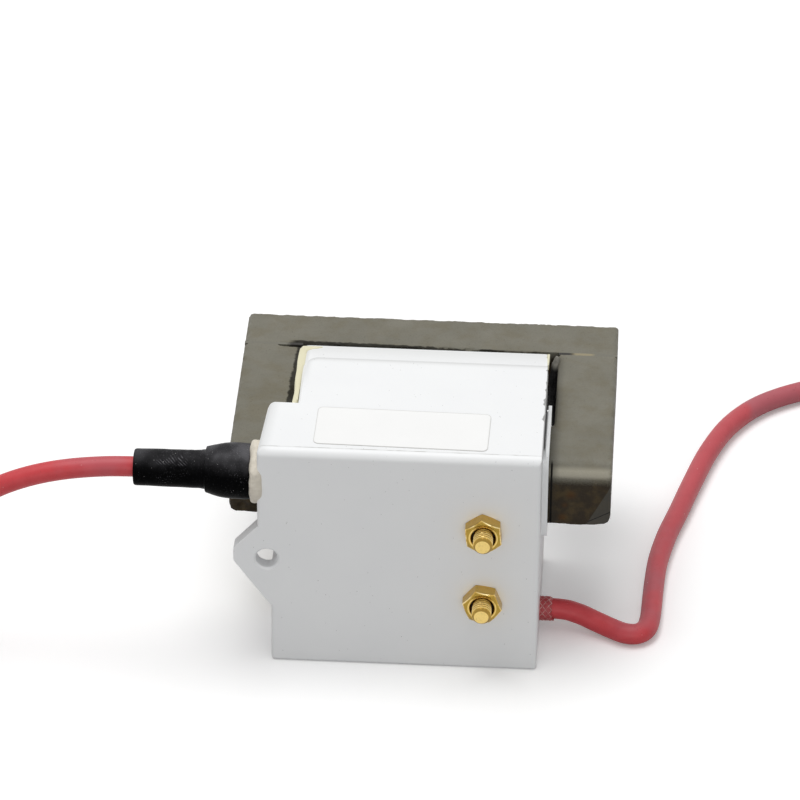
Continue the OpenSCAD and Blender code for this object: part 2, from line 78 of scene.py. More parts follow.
right = Vector((math.cos(YAW), -math.sin(YAW), 0))
ahead = Vector((math.sin(YAW) * math.cos(PITCH), math.cos(YAW) * math.cos(PITCH), -math.sin(PITCH)))
up = right.cross(ahead)
place = AIM_MM - SLIDE_RIGHT_MM * right - SLIDE_UP_MM * up - DISTANCE_MM * ahead
rolled_right = math.cos(ROLL) * right + math.sin(ROLL) * up
rolled_up = math.cos(ROLL) * up - math.sin(ROLL) * right

bpy.ops.object.select_all(action="DESELECT")
bpy.ops.object.camera_add()
camera = bpy.context.object
camera.name = "camera"
camera.data.lens = LENS_PX / VIEW_PX * SENSOR_MM
camera.data.sensor_width = SENSOR_MM
turn = Matrix((rolled_right, rolled_up, -ahead)).transposed().to_4x4()
camera.matrix_world = Matrix.Translation(place * MM) @ turn
camera.data.clip_start, camera.data.clip_end = 0.05, 20
bpy.context.scene.camera = camera
print("camera at", [round(x, 4) for x in camera.location], "lens", round(camera.data.lens, 1))

# %% [markdown]
# ## Shader maths as Python
# A finish is a graph of nodes. One small class wraps an output of a node, so that a sum or a
# product of two outputs is written as in Python, and one method adds every other kind of node.

# %% Node helpers
class Link:
    """An output of a shader node. Sums and products of it add Math nodes."""

    def __init__(self, finish, socket):
        self.finish, self.socket = finish, socket

    def _maths(self, operation, *values):
        return self.finish.add("Math", {"operation": operation}, dict(enumerate(values)))

    def __add__(self, other):
        return self._maths("ADD", self, other)

    def __sub__(self, other):
        return self._maths("SUBTRACT", self, other)

    def __rsub__(self, other):
        return self._maths("SUBTRACT", other, self)

    def __mul__(self, other):
        return self._maths("MULTIPLY", self, other)

    def __truediv__(self, other):
        return self._maths("DIVIDE", self, other)

    def __pow__(self, other):
        return self._maths("POWER", self, other)

    __radd__, __rmul__ = __add__, __mul__

    def over(self, limit):
        return self._maths("GREATER_THAN", self, limit)

    def absolute(self):
        return self._maths("ABSOLUTE", self)

    def wave(self):
        return self._maths("SINE", self)

    def least(self, other):
        return self._maths("MINIMUM", self, other)

    def most(self, other):
        return self._maths("MAXIMUM", self, other)


class Graph:
    """The nodes of a material or of the world."""

    def __init__(self, tree):
        self.tree = tree

    def add(self, kind, settings=None, inputs=None, out=0):
        """Adds a node: its settings first, then the values or links of its sockets."""
        node = self.tree.nodes.new("ShaderNode" + kind)
        for key, value in (settings or {}).items():
            setattr(node, key, value)
        for key, value in (inputs or {}).items():
            self.feed(node.inputs[key], value)
        return Link(self, node.outputs[out])

    def feed(self, socket, value):
        if isinstance(value, Link):
            self.tree.links.new(value.socket, socket)
        else:
            socket.default_value = value

    def seen(self):
        """1 for a ray that meets this straight from the camera, in a mirror or through glass."""
        kinds = ("Is Camera Ray", "Is Glossy Ray", "Is Transmission Ray")
        straight, mirrored, through_glass = [self.add("LightPath", out=kind) for kind in kinds]
        return straight.most(mirrored).most(through_glass)


class Finish(Graph):
    """A procedural material that reads the piece's own Object coordinates."""

    def __init__(self, name):
        self.material = bpy.data.materials.new(name)
        self.material.use_nodes = True
        super().__init__(self.material.node_tree)
        self.shader = self.tree.nodes["Principled BSDF"]
        self.place = self.add("TexCoord", out="Object")

    def grain(self, per_mm, detail=2.0, rough=0.5):
        """Noise from 0 to 1 with so many lumps to a millimetre."""
        inputs = {"Vector": self.place, "Scale": per_mm / MM, "Detail": detail, "Roughness": rough}
        return self.add("TexNoise", {"noise_dimensions": "3D"}, inputs)

    def dots(self, per_mm, core=0.05, reach=0.1):
        """1 on small round dots, so many to a millimetre, and 0 elsewhere."""
        inputs = {"Vector": self.place, "Scale": per_mm / MM}
        return 1 - self.step(self.add("TexVoronoi", {"feature": "F1"}, inputs), core, reach)

    def step(self, value, low, high):
        """0 below low, 1 above high, smooth between."""
        inputs = {"Value": value, "From Min": low, "From Max": high}
        return self.add("MapRange", {"interpolation_type": "SMOOTHSTEP"}, inputs)

    def band(self, value, rise, fall):
        """1 between the rise and the fall, which are a low and a high end each, 0 outside."""
        return self.step(value, *rise) * (1 - self.step(value, *fall))

    def axes(self):
        """The place along X, Y and Z in millimetres."""
        parts = [self.add("SeparateXYZ", None, {0: self.place}, out=k) for k in range(3)]
        return [part / MM for part in parts]

    def mix(self, share, first, second):
        return self.add("Mix", {"data_type": "RGBA"}, {0: share, 6: first, 7: second}, out=2)

    def bump(self, height, depth_mm, strength):
        inputs = {"Height": height, "Distance": depth_mm * MM, "Strength": strength}
        return self.add("Bump", None, inputs)

    def done(self, **sockets):
        for key, value in sockets.items():
            self.feed(self.shader.inputs[key.replace("_", " ")], value)
        print("finish", self.material.name, "has", len(self.tree.nodes), "nodes")
        return self.material


def srgb(code):
    """A colour as painters write it, #rrggbb, in the linear values that shaders use."""
    parts = [int(code[i : i + 2], 16) / 255 for i in (1, 3, 5)]
    return tuple(c / 12.92 if c <= 0.04045 else ((c + 0.055) / 1.055) ** 2.4 for c in parts) + (1.0,)


print("sRGB mid grey is", round(srgb("#808080")[0], 3), "in linear light")

# %% [markdown]
# ## The leads
# Both leads are silicone rubber, red and a little dusty. A lead is a curve with a round section, so
# its own line is its centreline. The route's points repeat those of the CAD source. The part of the
# high-voltage lead that isn't seen is wound into a round coil, two turns wide and two high.

# %% Lead routes
HV_D, RETURN_D = 4.2, 4.3
HV_ROUTE = [
    (-25.4, -14.5, 42.5), (-40, -14.5, 42.5), (-55, -14.5, 42.5), (-62.5, -14.5, 42.1), (-70, -14.6, 41),
    (-77, -14.7, 39), (-83.5, -14.9, 36), (-89.5, -15.2, 31.8), (-95, -15.5, 26.6), (-100.5, -15.8, 20.9),
    (-106.5, -16.2, 15.4), (-113, -16.6, 10.9), (-120, -16.9, 7.7), (-125, -17, 6.6),
]
RETURN_ROUTE = [
    (22.6, -4.5, 4.6), (31, -4.5, 4.6), (35, -4.9, 3.9), (38.8, -6, 2.8), (42.2, -7.5, 2.2),
    (44.8, -8.8, 2.15), (47.2, -8.8, 2.15), (48.9, -7.1, 2.15), (49.6, -4.3, 2.15), (49.9, -0.4, 2.15),
    (50.1, 5, 2.15), (50.4, 11, 2.15), (51, 18, 2.15), (52.6, 27, 2.15), (54.9, 36, 2.15), (57.6, 47, 2.15),
    (60.9, 59, 2.15), (65.2, 69.5, 2.15), (71.5, 78, 2.15), (80, 84, 2.15), (89.5, 87.6, 2.15),
    (99.5, 89.5, 2.15),
]
COIL_X, COIL_Y, COIL_R = -139.5, 7.0, 22.0
COIL_TURNS, FIRST_STEP, TURN_STEPS = 3.3, 2, 36
LAYER_PLAY = 0.1
CROSSING = 0.2


def coil_turns():
    """The coil's turns from its front, clockwise seen from above: outside, inside, then down."""
    half = HV_D / 2
    upper = 3 * half + LAYER_PLAY
    columns = [(COIL_R + half, upper), (COIL_R - half, upper), (COIL_R - half, half), (COIL_R + half, half)]
    points = []
    for k in range(FIRST_STEP, int(COIL_TURNS * TURN_STEPS) + 1):
        share = k / TURN_STEPS
        level = min(int(share), len(columns) - 2)
        ease = min(1, max(0, (share - level - 1 + CROSSING) / CROSSING))
        ease = ease * ease * (3 - 2 * ease)
        r = columns[level][0] * (1 - ease) + columns[level + 1][0] * ease
        z = columns[level][1] * (1 - ease) + columns[level + 1][1] * ease
        angle = -math.pi / 2 - 2 * math.pi * share
        points.append((COIL_X + r * math.cos(angle), COIL_Y + r * math.sin(angle), z))
    return points


def smooth_line(points, steps=6):
    """A line through the points with even bends (a Catmull-Rom spline)."""
    p = [Vector(q) for q in points]
    p = [2 * p[0] - p[1]] + p + [2 * p[-1] - p[-2]]
    line = []
    for a, b, c, d in zip(p, p[1:], p[2:], p[3:]):
        for k in range(steps):
            t = k / steps
            line.append(0.5 * (2 * b + (c - a) * t + (2 * a - 5 * b + 4 * c - d) * t * t
                               + (3 * b - a - 3 * c + d) * t ** 3))
    return line + [p[-2]]


def lead(name, points, diameter):
    """A curve of one open spline with closed ends; each point's radius holds the thickness."""
    line = smooth_line(points)
    data = bpy.data.curves.new(name, "CURVE")
    data.dimensions = "3D"
    data.bevel_depth = 1.0
    data.bevel_resolution = 6
    data.use_fill_caps = True
    spline = data.splines.new("POLY")
    spline.points.add(len(line) - 1)
    for point, q in zip(spline.points, line):
        point.co = (*(q * MM), 1)
        point.radius = diameter / 2 * MM
    spline.use_smooth = True
    piece = bpy.data.objects.new(name, data)
    bpy.context.scene.collection.objects.link(piece)
    length = sum((b - a).length for a, b in zip(line, line[1:])) * MM
    print(name, "is", round(length, 4), "m long")
    return piece, length


hv_lead, hv_length = lead("lead_high_voltage", HV_ROUTE + coil_turns(), HV_D)
return_lead, return_length = lead("lead_return", RETURN_ROUTE, RETURN_D)

# %% [markdown]
# ## Modelling helpers
# Every piece starts as a primitive at its size and place, in millimetres, and is then shaped in edit
# mode. Operators act on whatever is selected, so each helper first selects exactly what it needs.

# %% Modelling helpers
NEAR = 0.1
DOUBLE = 0.002
SHARP = 0.2


def alone(piece=None):
    """Object mode with only this piece selected and active."""
    if bpy.context.mode != "OBJECT":
        bpy.ops.object.mode_set(mode="OBJECT")
    bpy.ops.object.select_all(action="DESELECT")
    if piece:
        piece.select_set(True)
        bpy.context.view_layer.objects.active = piece


def named(name):
    """Names the new primitive and puts its place and size into its mesh."""
    piece = bpy.context.object
    piece.name = piece.data.name = name
    bpy.ops.object.transform_apply(location=True, rotation=True, scale=True)
    return piece


def box(name, low, high):
    alone()
    low, high = Vector(low), Vector(high)
    bpy.ops.mesh.primitive_cube_add(size=1, location=(low + high) / 2 * MM, scale=(high - low) * MM)
    return named(name)


def rod(name, start, end, r, r_end=None, sides=64):
    alone()
    start, end = Vector(start), Vector(end)
    along = end - start
    r_end = r if r_end is None else r_end
    bpy.ops.mesh.primitive_cone_add(
        vertices=sides, radius1=r * MM, radius2=r_end * MM, depth=along.length * MM,
        location=(start + end) / 2 * MM, rotation=along.to_track_quat("Z", "Y").to_euler())
    return named(name)


def ball(name, middle, size, fineness):
    """A ball of triangles, stretched to its half sizes."""
    alone()
    bpy.ops.mesh.primitive_ico_sphere_add(
        subdivisions=fineness, radius=MM, location=Vector(middle) * MM, scale=size)
    return named(name)


def pick(piece, kind, test):
    """Edit mode with the vertices, edges or faces selected whose middle (mm) and normal pass a test."""
    alone(piece)
    bpy.ops.object.mode_set(mode="EDIT")
    bpy.ops.mesh.select_mode(type=kind)
    bpy.ops.mesh.select_all(action="DESELECT")
    mesh = bmesh.from_edit_mesh(piece.data)
    for item in {"VERT": mesh.verts, "EDGE": mesh.edges, "FACE": mesh.faces}[kind]:
        corners = [item] if kind == "VERT" else item.verts
        middle = sum((v.co for v in corners), Vector()) / len(corners) / MM
        item.select_set(bool(test(middle, item.normal if kind != "EDGE" else None)))
    mesh.select_flush_mode()
    bmesh.update_edit_mesh(piece.data)


def slide(x, y, z):
    bpy.ops.transform.translate(value=(x * MM, y * MM, z * MM))


def pull(x, y, z):
    bpy.ops.mesh.extrude_region_move(TRANSFORM_OT_translate={"value": (x * MM, y * MM, z * MM)})


def slice_at(piece, point, normal):
    """Cuts new edges where a plane passes."""
    pick(piece, "FACE", lambda middle, way: True)
    bpy.ops.mesh.bisect(plane_co=Vector(point) * MM, plane_no=normal)
    alone(piece)


def modify(piece, kind, **settings):
    """Adds a modifier and applies it."""
    alone(piece)
    modifier = piece.modifiers.new(kind.lower(), kind)
    for key, value in settings.items():
        setattr(modifier, key, value)
    bpy.ops.object.modifier_apply(modifier=modifier.name)


def soften(piece, width, angle):
    """A narrow bevel on every edge that bends by more than an angle."""
    limit = math.radians(angle)
    modify(piece, "BEVEL", limit_method="ANGLE", width=width * MM, segments=2, angle_limit=limit)


def absorb(piece, other):
    """Joins another piece's mesh to this one's, as it is."""
    alone(piece)
    other.select_set(True)
    bpy.ops.object.join()


def carve(piece, tool, how="DIFFERENCE"):
    """Cuts, joins or intersects with another piece, which is used up."""
    modify(piece, "BOOLEAN", operation=how, object=tool, solver="EXACT")
    bpy.data.objects.remove(tool)


def round_edges(piece, radius, shares, segments=5):
    """Rounds the sharp edges: the first (test, share of the radius) that fits an edge's middle counts."""
    alone(piece)
    mesh = bmesh.new()
    mesh.from_mesh(piece.data)
    layers = mesh.edges.layers.float
    layer = layers.get("bevel_weight_edge") or layers.new("bevel_weight_edge")
    for edge in mesh.edges:
        middle = (edge.verts[0].co + edge.verts[1].co) / 2 / MM
        share = next((share for test, share in shares if test(middle)), 0)
        edge[layer] = share if edge.calc_face_angle(0) > SHARP else 0
    mesh.to_mesh(piece.data)
    mesh.free()
    modify(piece, "BEVEL", limit_method="WEIGHT", width=radius * MM, segments=segments)


def rounded(points, steps=6):
    """An outline with rounded corners: each point is (u, v, radius)."""
    line = []
    for k, (u, v, r) in enumerate(points):
        p = Vector((u, v))
        if r <= 0:
            line.append(p)
            continue
        a = (Vector(points[k - 1][:2]) - p).normalized()
        b = (Vector(points[(k + 1) % len(points)][:2]) - p).normalized()
        half = a.angle(b) / 2
        centre = p + (a + b).normalized() * r / math.sin(half)
        first = p + a * r / math.tan(half) - centre
        sweep = first.angle_signed(p + b * r / math.tan(half) - centre)
        for j in range(steps + 1):
            angle = -sweep * j / steps
            line.append(centre + Matrix.Rotation(angle, 2) @ first)
    return line


def prism(name, outline, axis, start, end):
    """A filled circle whose vertices are set to the outline, pulled along an axis."""
    alone()
    bpy.ops.mesh.primitive_circle_add(vertices=len(outline), fill_type="NGON")
    piece = named(name)
    for vertex, (u, v) in zip(piece.data.vertices, outline):
        vertex.co = Vector({"X": (start, u, v), "Y": (u, start, v), "Z": (u, v, start)}[axis]) * MM
    piece.data.update()
    pick(piece, "FACE", lambda middle, way: True)
    pull(*[(end - start) * (axis == letter) for letter in "XYZ"])
    bpy.ops.mesh.select_all(action="SELECT")
    bpy.ops.mesh.normals_make_consistent(inside=False)
    alone(piece)
    return piece


def turned(name, profile, origin, axis, steps=64):
    """A profile of (distance along the axis, radius) spun round, as on a lathe."""
    origin, axis = Vector(origin), Vector(axis)
    side = axis.orthogonal().normalized()
    spots = [origin + axis * along + side * r for along, r in profile]
    alone()
    bpy.ops.mesh.primitive_plane_add(size=MM, location=spots[0] * MM)
    piece = named(name)
    pick(piece, "VERT", lambda middle, way: True)
    bpy.ops.mesh.merge(type="CENTER")
    for a, b in zip(spots, spots[1:]):
        pull(*(b - a))
    bpy.ops.mesh.select_all(action="SELECT")
    bpy.ops.mesh.spin(steps=steps, angle=2 * math.pi, center=origin * MM, axis=axis)
    bpy.ops.mesh.select_all(action="SELECT")
    bpy.ops.mesh.remove_doubles(threshold=DOUBLE * MM)
    bpy.ops.mesh.normals_make_consistent(inside=False)
    alone(piece)
    return piece


def copy_of(node, name):
    """A merged copy of a CAD node's mesh, with its flat faces whole again."""
    piece = nodes[node].copy()
    piece.data = nodes[node].data.copy()
    piece.name = piece.data.name = name
    piece.parent = None
    for key in list(piece.keys()):
        del piece[key]
    bpy.context.scene.collection.objects.link(piece)
    piece.data.materials.clear()
    pick(piece, "VERT", lambda middle, way: True)
    bpy.ops.mesh.remove_doubles(threshold=DOUBLE * MM)
    bpy.ops.mesh.dissolve_limited(angle_limit=math.radians(1))
    alone(piece)
    return piece


def reshape(piece, move):
    """Moves each vertex, in mm, to what move(place, normal) gives."""
    alone(piece)
    spots = [(vertex.co / MM, vertex.normal.copy()) for vertex in piece.data.vertices]
    for vertex, (spot, normal) in zip(piece.data.vertices, spots):
        vertex.co = move(spot, normal) * MM
    piece.data.update()


def smooth(piece, angle=35, flat=False):
    """Smooth shading below an angle; with flat, large faces keep their own normal up to the bevels."""
    alone(piece)
    bpy.ops.object.shade_smooth_by_angle(angle=math.radians(angle))
    if flat:
        modify(piece, "WEIGHTED_NORMAL", keep_sharp=True)


def paint(piece, material):
    piece.data.materials.clear()
    piece.data.materials.append(material)


def fit_in(piece, slot, material, *stands_for):
    """The piece takes its finish, rides on the body and stands for its CAD nodes."""
    paint(piece, material)
    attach(piece, "root")
    if stands_for:
        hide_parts(*stands_for)
    print(piece.name, "has", len(piece.data.polygons), "faces")


# %% [markdown]
# ## The moulded case
# The case is one white moulding: a front block with a head that stands out at the left, a coil part
# behind it that is open at its left side, and a mounting ear. It starts as the front block. Planes
# cut edges where the head and the coil part begin, the head slides out and the coil part is pulled
# back. The edges are rounded by weight, so one modifier gives the soft top edge and the tight ones.

# %% Case body
FRONT, BACK, LEFT, RIGHT, TOP = -20.0, 20.0, -27.0, 27.0, 51.3
HEAD_LEFT, HEAD_BACK, HEAD_LOW = -29.8, -1.8, 31.0
COIL_LEFT, WALL = -22.8, 2.2
HEAD_R, HEAD_TAPER = 2.4, 1.1

case = box("case_moulding", (LEFT, FRONT, 0), (RIGHT, HEAD_BACK, TOP))
slice_at(case, (0, 0, HEAD_LOW), (0, 0, 1))
slice_at(case, (0, 0, HEAD_LOW + HEAD_LEFT - LEFT), (0, 0, 1))
pick(case, "VERT", lambda p, n: p.x < LEFT + NEAR and p.z > HEAD_LOW - NEAR)
slide(HEAD_LEFT - LEFT, 0, 0)
pick(case, "VERT", lambda p, n: p.x < HEAD_LEFT + NEAR and p.y > HEAD_BACK - NEAR)
slide(HEAD_TAPER, 0, 0)
slice_at(case, (COIL_LEFT, 0, 0), (1, 0, 0))
pick(case, "FACE", lambda p, n: n.y > 0.9 and p.x > COIL_LEFT)
pull(0, BACK - HEAD_BACK, 0)
round_edges(case, HEAD_R, [
    (lambda p: p.x < HEAD_LEFT + HEAD_TAPER + NEAR and p.z > TOP - NEAR, 0.5),
    (lambda p: p.x < HEAD_LEFT + HEAD_TAPER + NEAR and p.y > HEAD_BACK - NEAR, 0.9),
    (lambda p: p.x > RIGHT - NEAR and p.z > TOP - NEAR, 0.06),
    (lambda p: p.y < FRONT + NEAR and p.z > TOP - NEAR, 0.75),
    (lambda p: abs(p.x - COIL_LEFT) < NEAR and abs(p.y - HEAD_BACK) < NEAR, 0.0),
    (lambda p: True, 0.3),
])
print("case body:", len(case.data.polygons), "faces")

# %% [markdown]
# ### Ear, spigot and openings
# The ear is a flat plate with one screw hole, and behind it the wall has a groove that the screw's head
# passes along. A spigot for the lead stands out of the head. Inside, the case is hollow, a tunnel lets
# the core's yoke through, and the back of the top is a step lower. Each of these is a prism, a rod or a
# box that is joined or cut with a Boolean, because that leaves the rounded main edges as they are.

# %% Ear and spigot
EAR_T, EAR_LOW, EAR_HIGH, EAR_EDGE = 3.0, 13.5, 32.8, 0.45
EAR_TIP, EAR_ROOT = LEFT - 7.6, LEFT + 3.2
HOLE_X, HOLE_Z, HOLE_R = LEFT - 0.85, 25.0, 2.25
GROOVE_L, GROOVE_PLAY, HOLE_SINK = 20.0, 0.35, 0.4
OUTLET, SPIGOT_L, SPIGOT_R = Vector((HEAD_LEFT, -14.5, 42.5)), 8.1, 4.45


def through_ear(name, start, end, *radii):
    """A rod on the axis of the ear's hole, from and to so far behind the front."""
    return rod(name, (HOLE_X, FRONT + start, HOLE_Z), (HOLE_X, FRONT + end, HOLE_Z), *radii)


def along_outlet(name, start, end, r):
    """A rod on the axis of the outlet, from and to so far out of the head."""
    return rod(name, OUTLET - Vector((start, 0, 0)), OUTLET - Vector((end, 0, 0)), r)


ear = prism("ear", rounded([
    (EAR_ROOT, EAR_LOW, 0), (LEFT, EAR_LOW, 2), (EAR_TIP, HOLE_Z - 0.6, 1.5), (EAR_TIP, HOLE_Z + 2.4, 1.5),
    (HEAD_LEFT, EAR_HIGH, 0.8), (EAR_ROOT, EAR_HIGH, 0)]), "Y", FRONT, FRONT + EAR_T)
round_edges(ear, EAR_EDGE, [(lambda p: p.x < LEFT - 0.2, 1.0)], segments=3)
carve(case, through_ear("groove", EAR_T, GROOVE_L, HOLE_R + GROOVE_PLAY))
carve(case, ear, "UNION")
carve(case, through_ear("ear_bore", -1, EAR_T + 1, HOLE_R))
carve(case, through_ear("ear_chamfer", -1, HOLE_SINK, HOLE_R + HOLE_SINK + 1, HOLE_R))
carve(case, along_outlet("spigot", -1, SPIGOT_L, SPIGOT_R), "UNION")
carve(case, along_outlet("outlet_bore", -4, SPIGOT_L + 0.9, HV_D / 2))
print("case with ear and spigot:", len(case.data.polygons), "faces")

# %% Hollow, tunnel and ledge
YOKE_FRONT, YOKE_BACK, CORE_LOW, CORE_TOP = -8.5, 6.1, 28.2, 42.8
FORMER_IN, FORMER_OUT = 0.4, 1.6


def yoke_loop(grow):
    """The outline of the yoke, grown evenly, with round corners."""
    y0, y1, z0, z1 = YOKE_FRONT - grow, YOKE_BACK + grow, CORE_LOW - grow, CORE_TOP + grow
    return rounded([(y0, z0, grow), (y1, z0, grow), (y1, z1, grow), (y0, z1, grow)])


OVER = 3.0
carve(case, box("cavity", (COIL_LEFT - 1, FRONT + WALL, WALL), (RIGHT - WALL, BACK - WALL, TOP - WALL)))
carve(case, prism("tunnel", yoke_loop(FORMER_OUT), "X", HEAD_LEFT - OVER, RIGHT + OVER))
LEDGE_Y, LEDGE_Z, LEDGE_EDGE = BACK - 5.2, TOP - 0.5, 0.3
STEP_X, STEP_R, LEDGE_START = COIL_LEFT + 0.9, 2.4, HEAD_BACK + 0.02
ledge = prism("ledge", rounded([
    (COIL_LEFT - OVER, LEDGE_START, 0), (COIL_LEFT + 0.2, LEDGE_START, 0), (STEP_X, LEDGE_Y, STEP_R),
    (RIGHT + OVER, LEDGE_Y, 0), (RIGHT + OVER, BACK + OVER, 0), (COIL_LEFT - OVER, BACK + OVER, 0)]),
    "Z", LEDGE_Z, TOP + OVER)
carve(case, ledge)


def on_step_rim(p):
    """The upper edge of the ledge's step, along its back and round its corner to the left."""
    at_left = p.x < STEP_X + STEP_R + 0.3 and p.y > HEAD_BACK + NEAR
    return abs(p.z - TOP) < 0.02 and (at_left or abs(p.y - LEDGE_Y) < 0.02)


round_edges(case, LEDGE_EDGE, [(on_step_rim, 1.0)], segments=3)
RETURN_EXIT = Vector((RIGHT, -4.5, 4.6))
bore_start, bore_end = RETURN_EXIT - Vector((4, 0, 0)), RETURN_EXIT + Vector((2, 0, 0))
carve(case, rod("return_bore", bore_start, bore_end, RETURN_D / 2))
print("hollow case:", len(case.data.polygons), "faces")

# %% [markdown]
# ### Ragged flash
# Along its right top edge the moulding was trimmed by hand. A thin bar with one side pushed in and out
# by noise bites small flutes out of that edge, which run out further down the wall.

# %% Ragged edge
FLUTE_L, FLUTE_DEPTH = 5.0, 1.1
bite = box("bite", (RIGHT - 0.02, HEAD_BACK - 4, TOP - FLUTE_L), (RIGHT + 2, BACK + 1, TOP + 1))
pick(bite, "EDGE", lambda p, n: True)
bpy.ops.mesh.subdivide(number_cuts=60)
alone(bite)


def nibble(p, way):
    """The near side goes in by noise along the edge, most at the top."""
    depth = noise.noise(Vector((0, p.y * 0.33, 3.1))) + 0.5 * noise.noise(Vector((5, p.y * 1.1, 0)))
    if p.x < RIGHT + 0.5:
        p.x -= max(0, depth) * FLUTE_DEPTH * (p.z - TOP + FLUTE_L) / FLUTE_L
    return p


reshape(bite, nibble)
carve(case, bite)
smooth(case, 30, flat=True)
print("trimmed case:", len(case.data.polygons), "faces")

# %% [markdown]
# ### White moulded plastic
# The plastic is a plain white with a soft sheen. Close up it has faint clouds, a fine matt grain, a
# few dark specks that were moulded in, and a thin line of dirt along the seam by the top front edge.

# %% White plastic
plastic = Finish("white_plastic")
x, y, z = plastic.axes()
clouds = plastic.grain(0.09, 3)
fine = plastic.grain(7, 2, 0.6)
specks = plastic.step(plastic.grain(0.55, 1), 0.56, 0.64) * plastic.dots(1.1)
grime = plastic.step(plastic.grain(0.8, 4, 0.7), 0.62, 0.8)
white = plastic.mix(clouds, srgb("#f0f1f2"), srgb("#f5f6f6"))
white = plastic.mix(grime * 0.12, white, srgb("#cfc9bb"))
print("white plastic has clouds, grime and specks")

# %% [markdown]
# ### Painted shade on the step and beside the gap
# Where the top steps down to the ledge, painted shade makes a soft grey line, and the head's left
# top edge gets painted shade where it rounds away. The wall beside the core is dark with painted
# shade. The step is too low to shade itself in this light, so all of these are painted by where a
# point lies.

# %% Soft lines of the plastic
HEAD_SLANT = 0.06
on_ledge = plastic.band(z, (LEDGE_Z - 0.2, LEDGE_Z - 0.05), (TOP - 0.3, TOP - 0.1))
on_top = plastic.step(z, TOP - 0.3, TOP - 0.2) * (1 - plastic.step(x, RIGHT, RIGHT + 0.2))
# Painted shade: a soft grey line along the step, on the ledge behind it and on the top before it.
ledge_foot_shade = plastic.step(y, LEDGE_Y - 0.2, BACK - 0.4) * on_ledge
brow_shade = plastic.step(y, LEDGE_Y - 3.3, LEDGE_Y - 0.05) * on_top
left_foot_shade = plastic.step(y, HEAD_BACK + 0.3, HEAD_BACK + 1.8) * on_ledge
left_foot_shade = left_foot_shade * (1 - plastic.step(x, COIL_LEFT + 0.5, COIL_LEFT + 1.3))
white = plastic.mix(ledge_foot_shade * 0.28 + brow_shade ** 3 * 0.2 + left_foot_shade * 0.3, white, srgb("#b4b4b0"))
# Painted shade along the step's rounded rim, and along the head's left top edge where it rounds away.
past_x = (STEP_X + STEP_R - x).most(0)
past_y = (y - LEDGE_Y + STEP_R).most(0)
past_corner = (past_x ** 2 + past_y ** 2) ** 0.5 - STEP_R
step_rim_shade = plastic.step(past_corner, -1.5, 0.0) ** 2 * on_top * plastic.step(y, HEAD_BACK + 4, LEDGE_Y)
from_left = x - (y - FRONT) * HEAD_SLANT - HEAD_LEFT
head_edge_shade = (1 - plastic.step(from_left, 0.2, 3.0)) * plastic.step(z, TOP - 1, TOP - 0.1)
white = plastic.mix(step_rim_shade * 0.3 + head_edge_shade * 0.3, white, srgb("#a9aaa8"))
print("soft lines follow the step at", LEDGE_Y, "mm")

# %% Specks, painted gap shade and sheen of the plastic
SEAM_Y = FRONT + 1.75
white = plastic.mix(specks * 0.75, white, srgb("#4a4640"))
# Painted shade on the right wall beside the core's gap, fading out upwards.
gap_wall_shade = plastic.band(x, (RIGHT - 0.25, RIGHT - 0.03), (RIGHT + 0.2, RIGHT + 0.4))
gap_wall_shade = gap_wall_shade * plastic.step(z, CORE_TOP - 0.2, CORE_TOP + 0.6) * plastic.step(y + clouds * 3, -5, -3)
gap_wall_shade = gap_wall_shade * (1 - plastic.step(z + clouds * 2, 45.0, 48.8))
white = plastic.mix(gap_wall_shade * 0.85, white, srgb("#141311"))
seam = (1 - plastic.step((y - SEAM_Y).absolute(), 0.04, 0.16)) * plastic.step(z, TOP - 0.4, TOP - 0.2)
seam = seam * (0.35 + 0.65 * plastic.step(plastic.grain(0.35, 2), 0.38, 0.6))
white = plastic.mix(seam * 0.6, white, srgb("#8b8880"))
white_plastic = plastic.done(
    Base_Color=white, Roughness=0.36 + fine * 0.16, Specular_IOR_Level=0.4,
    Normal=plastic.bump(fine + clouds * 2, 0.02, 0.35))
fit_in(case, "white_case", white_plastic, "case")

# %% [markdown]
# ## Casting resin
# Cream resin fills the case from its open left side, stands a little proud there and has run over the
# back corner of the ledge. The CAD block is copied, the run is joined to it, and one remesh turns both
# into a fine even skin that can be pushed into slow waves and dimples. A thin smear at the right back
# corner is joined after that, because the remesh would swallow it.

# %% Resin
POUR_LEFT, RUN_START, RUN_BACK, RUN_LOW = COIL_LEFT - 1.2, HEAD_BACK - 0.3, BACK - 0.3, 48.0
RUN_H, RESIN_VOXEL = 0.22, 0.45
SWELL, DIMPLE = 0.22, 0.5

resin = copy_of("potting_resin", "resin_pour")
run = prism("resin_run", rounded([
    (POUR_LEFT, RUN_START, 0.1), (COIL_LEFT - 0.2, RUN_START, 0.1), (COIL_LEFT + 0.35, 14.0, 2),
    (COIL_LEFT + 0.5, 18.2, 1.2), (COIL_LEFT + 3.6, 19.1, 1.2), (COIL_LEFT + 3.8, RUN_BACK, 0.2),
    (COIL_LEFT - 0.6, RUN_BACK, 0.6), (POUR_LEFT, 18.4, 0.6)]), "Z", RUN_LOW, LEDGE_Z + RUN_H)
absorb(resin, run)
modify(resin, "REMESH", mode="VOXEL", voxel_size=RESIN_VOXEL * MM)


def set_skin(p, way):
    """The skin of the pour: slow waves and a few dimples where air came out."""
    if p.x < COIL_LEFT - 0.4:
        swell = noise.noise(Vector((0, p.y * 0.18, p.z * 0.12))) * SWELL
        dimple = max(0, noise.noise(Vector((3, p.y * 0.6, p.z * 0.6))) - 0.55) * DIMPLE
        p.x += max(-0.25, -swell) * (way.x < -0.5) + dimple
    return p


reshape(resin, set_skin)
print("resin skin:", len(resin.data.polygons), "faces")

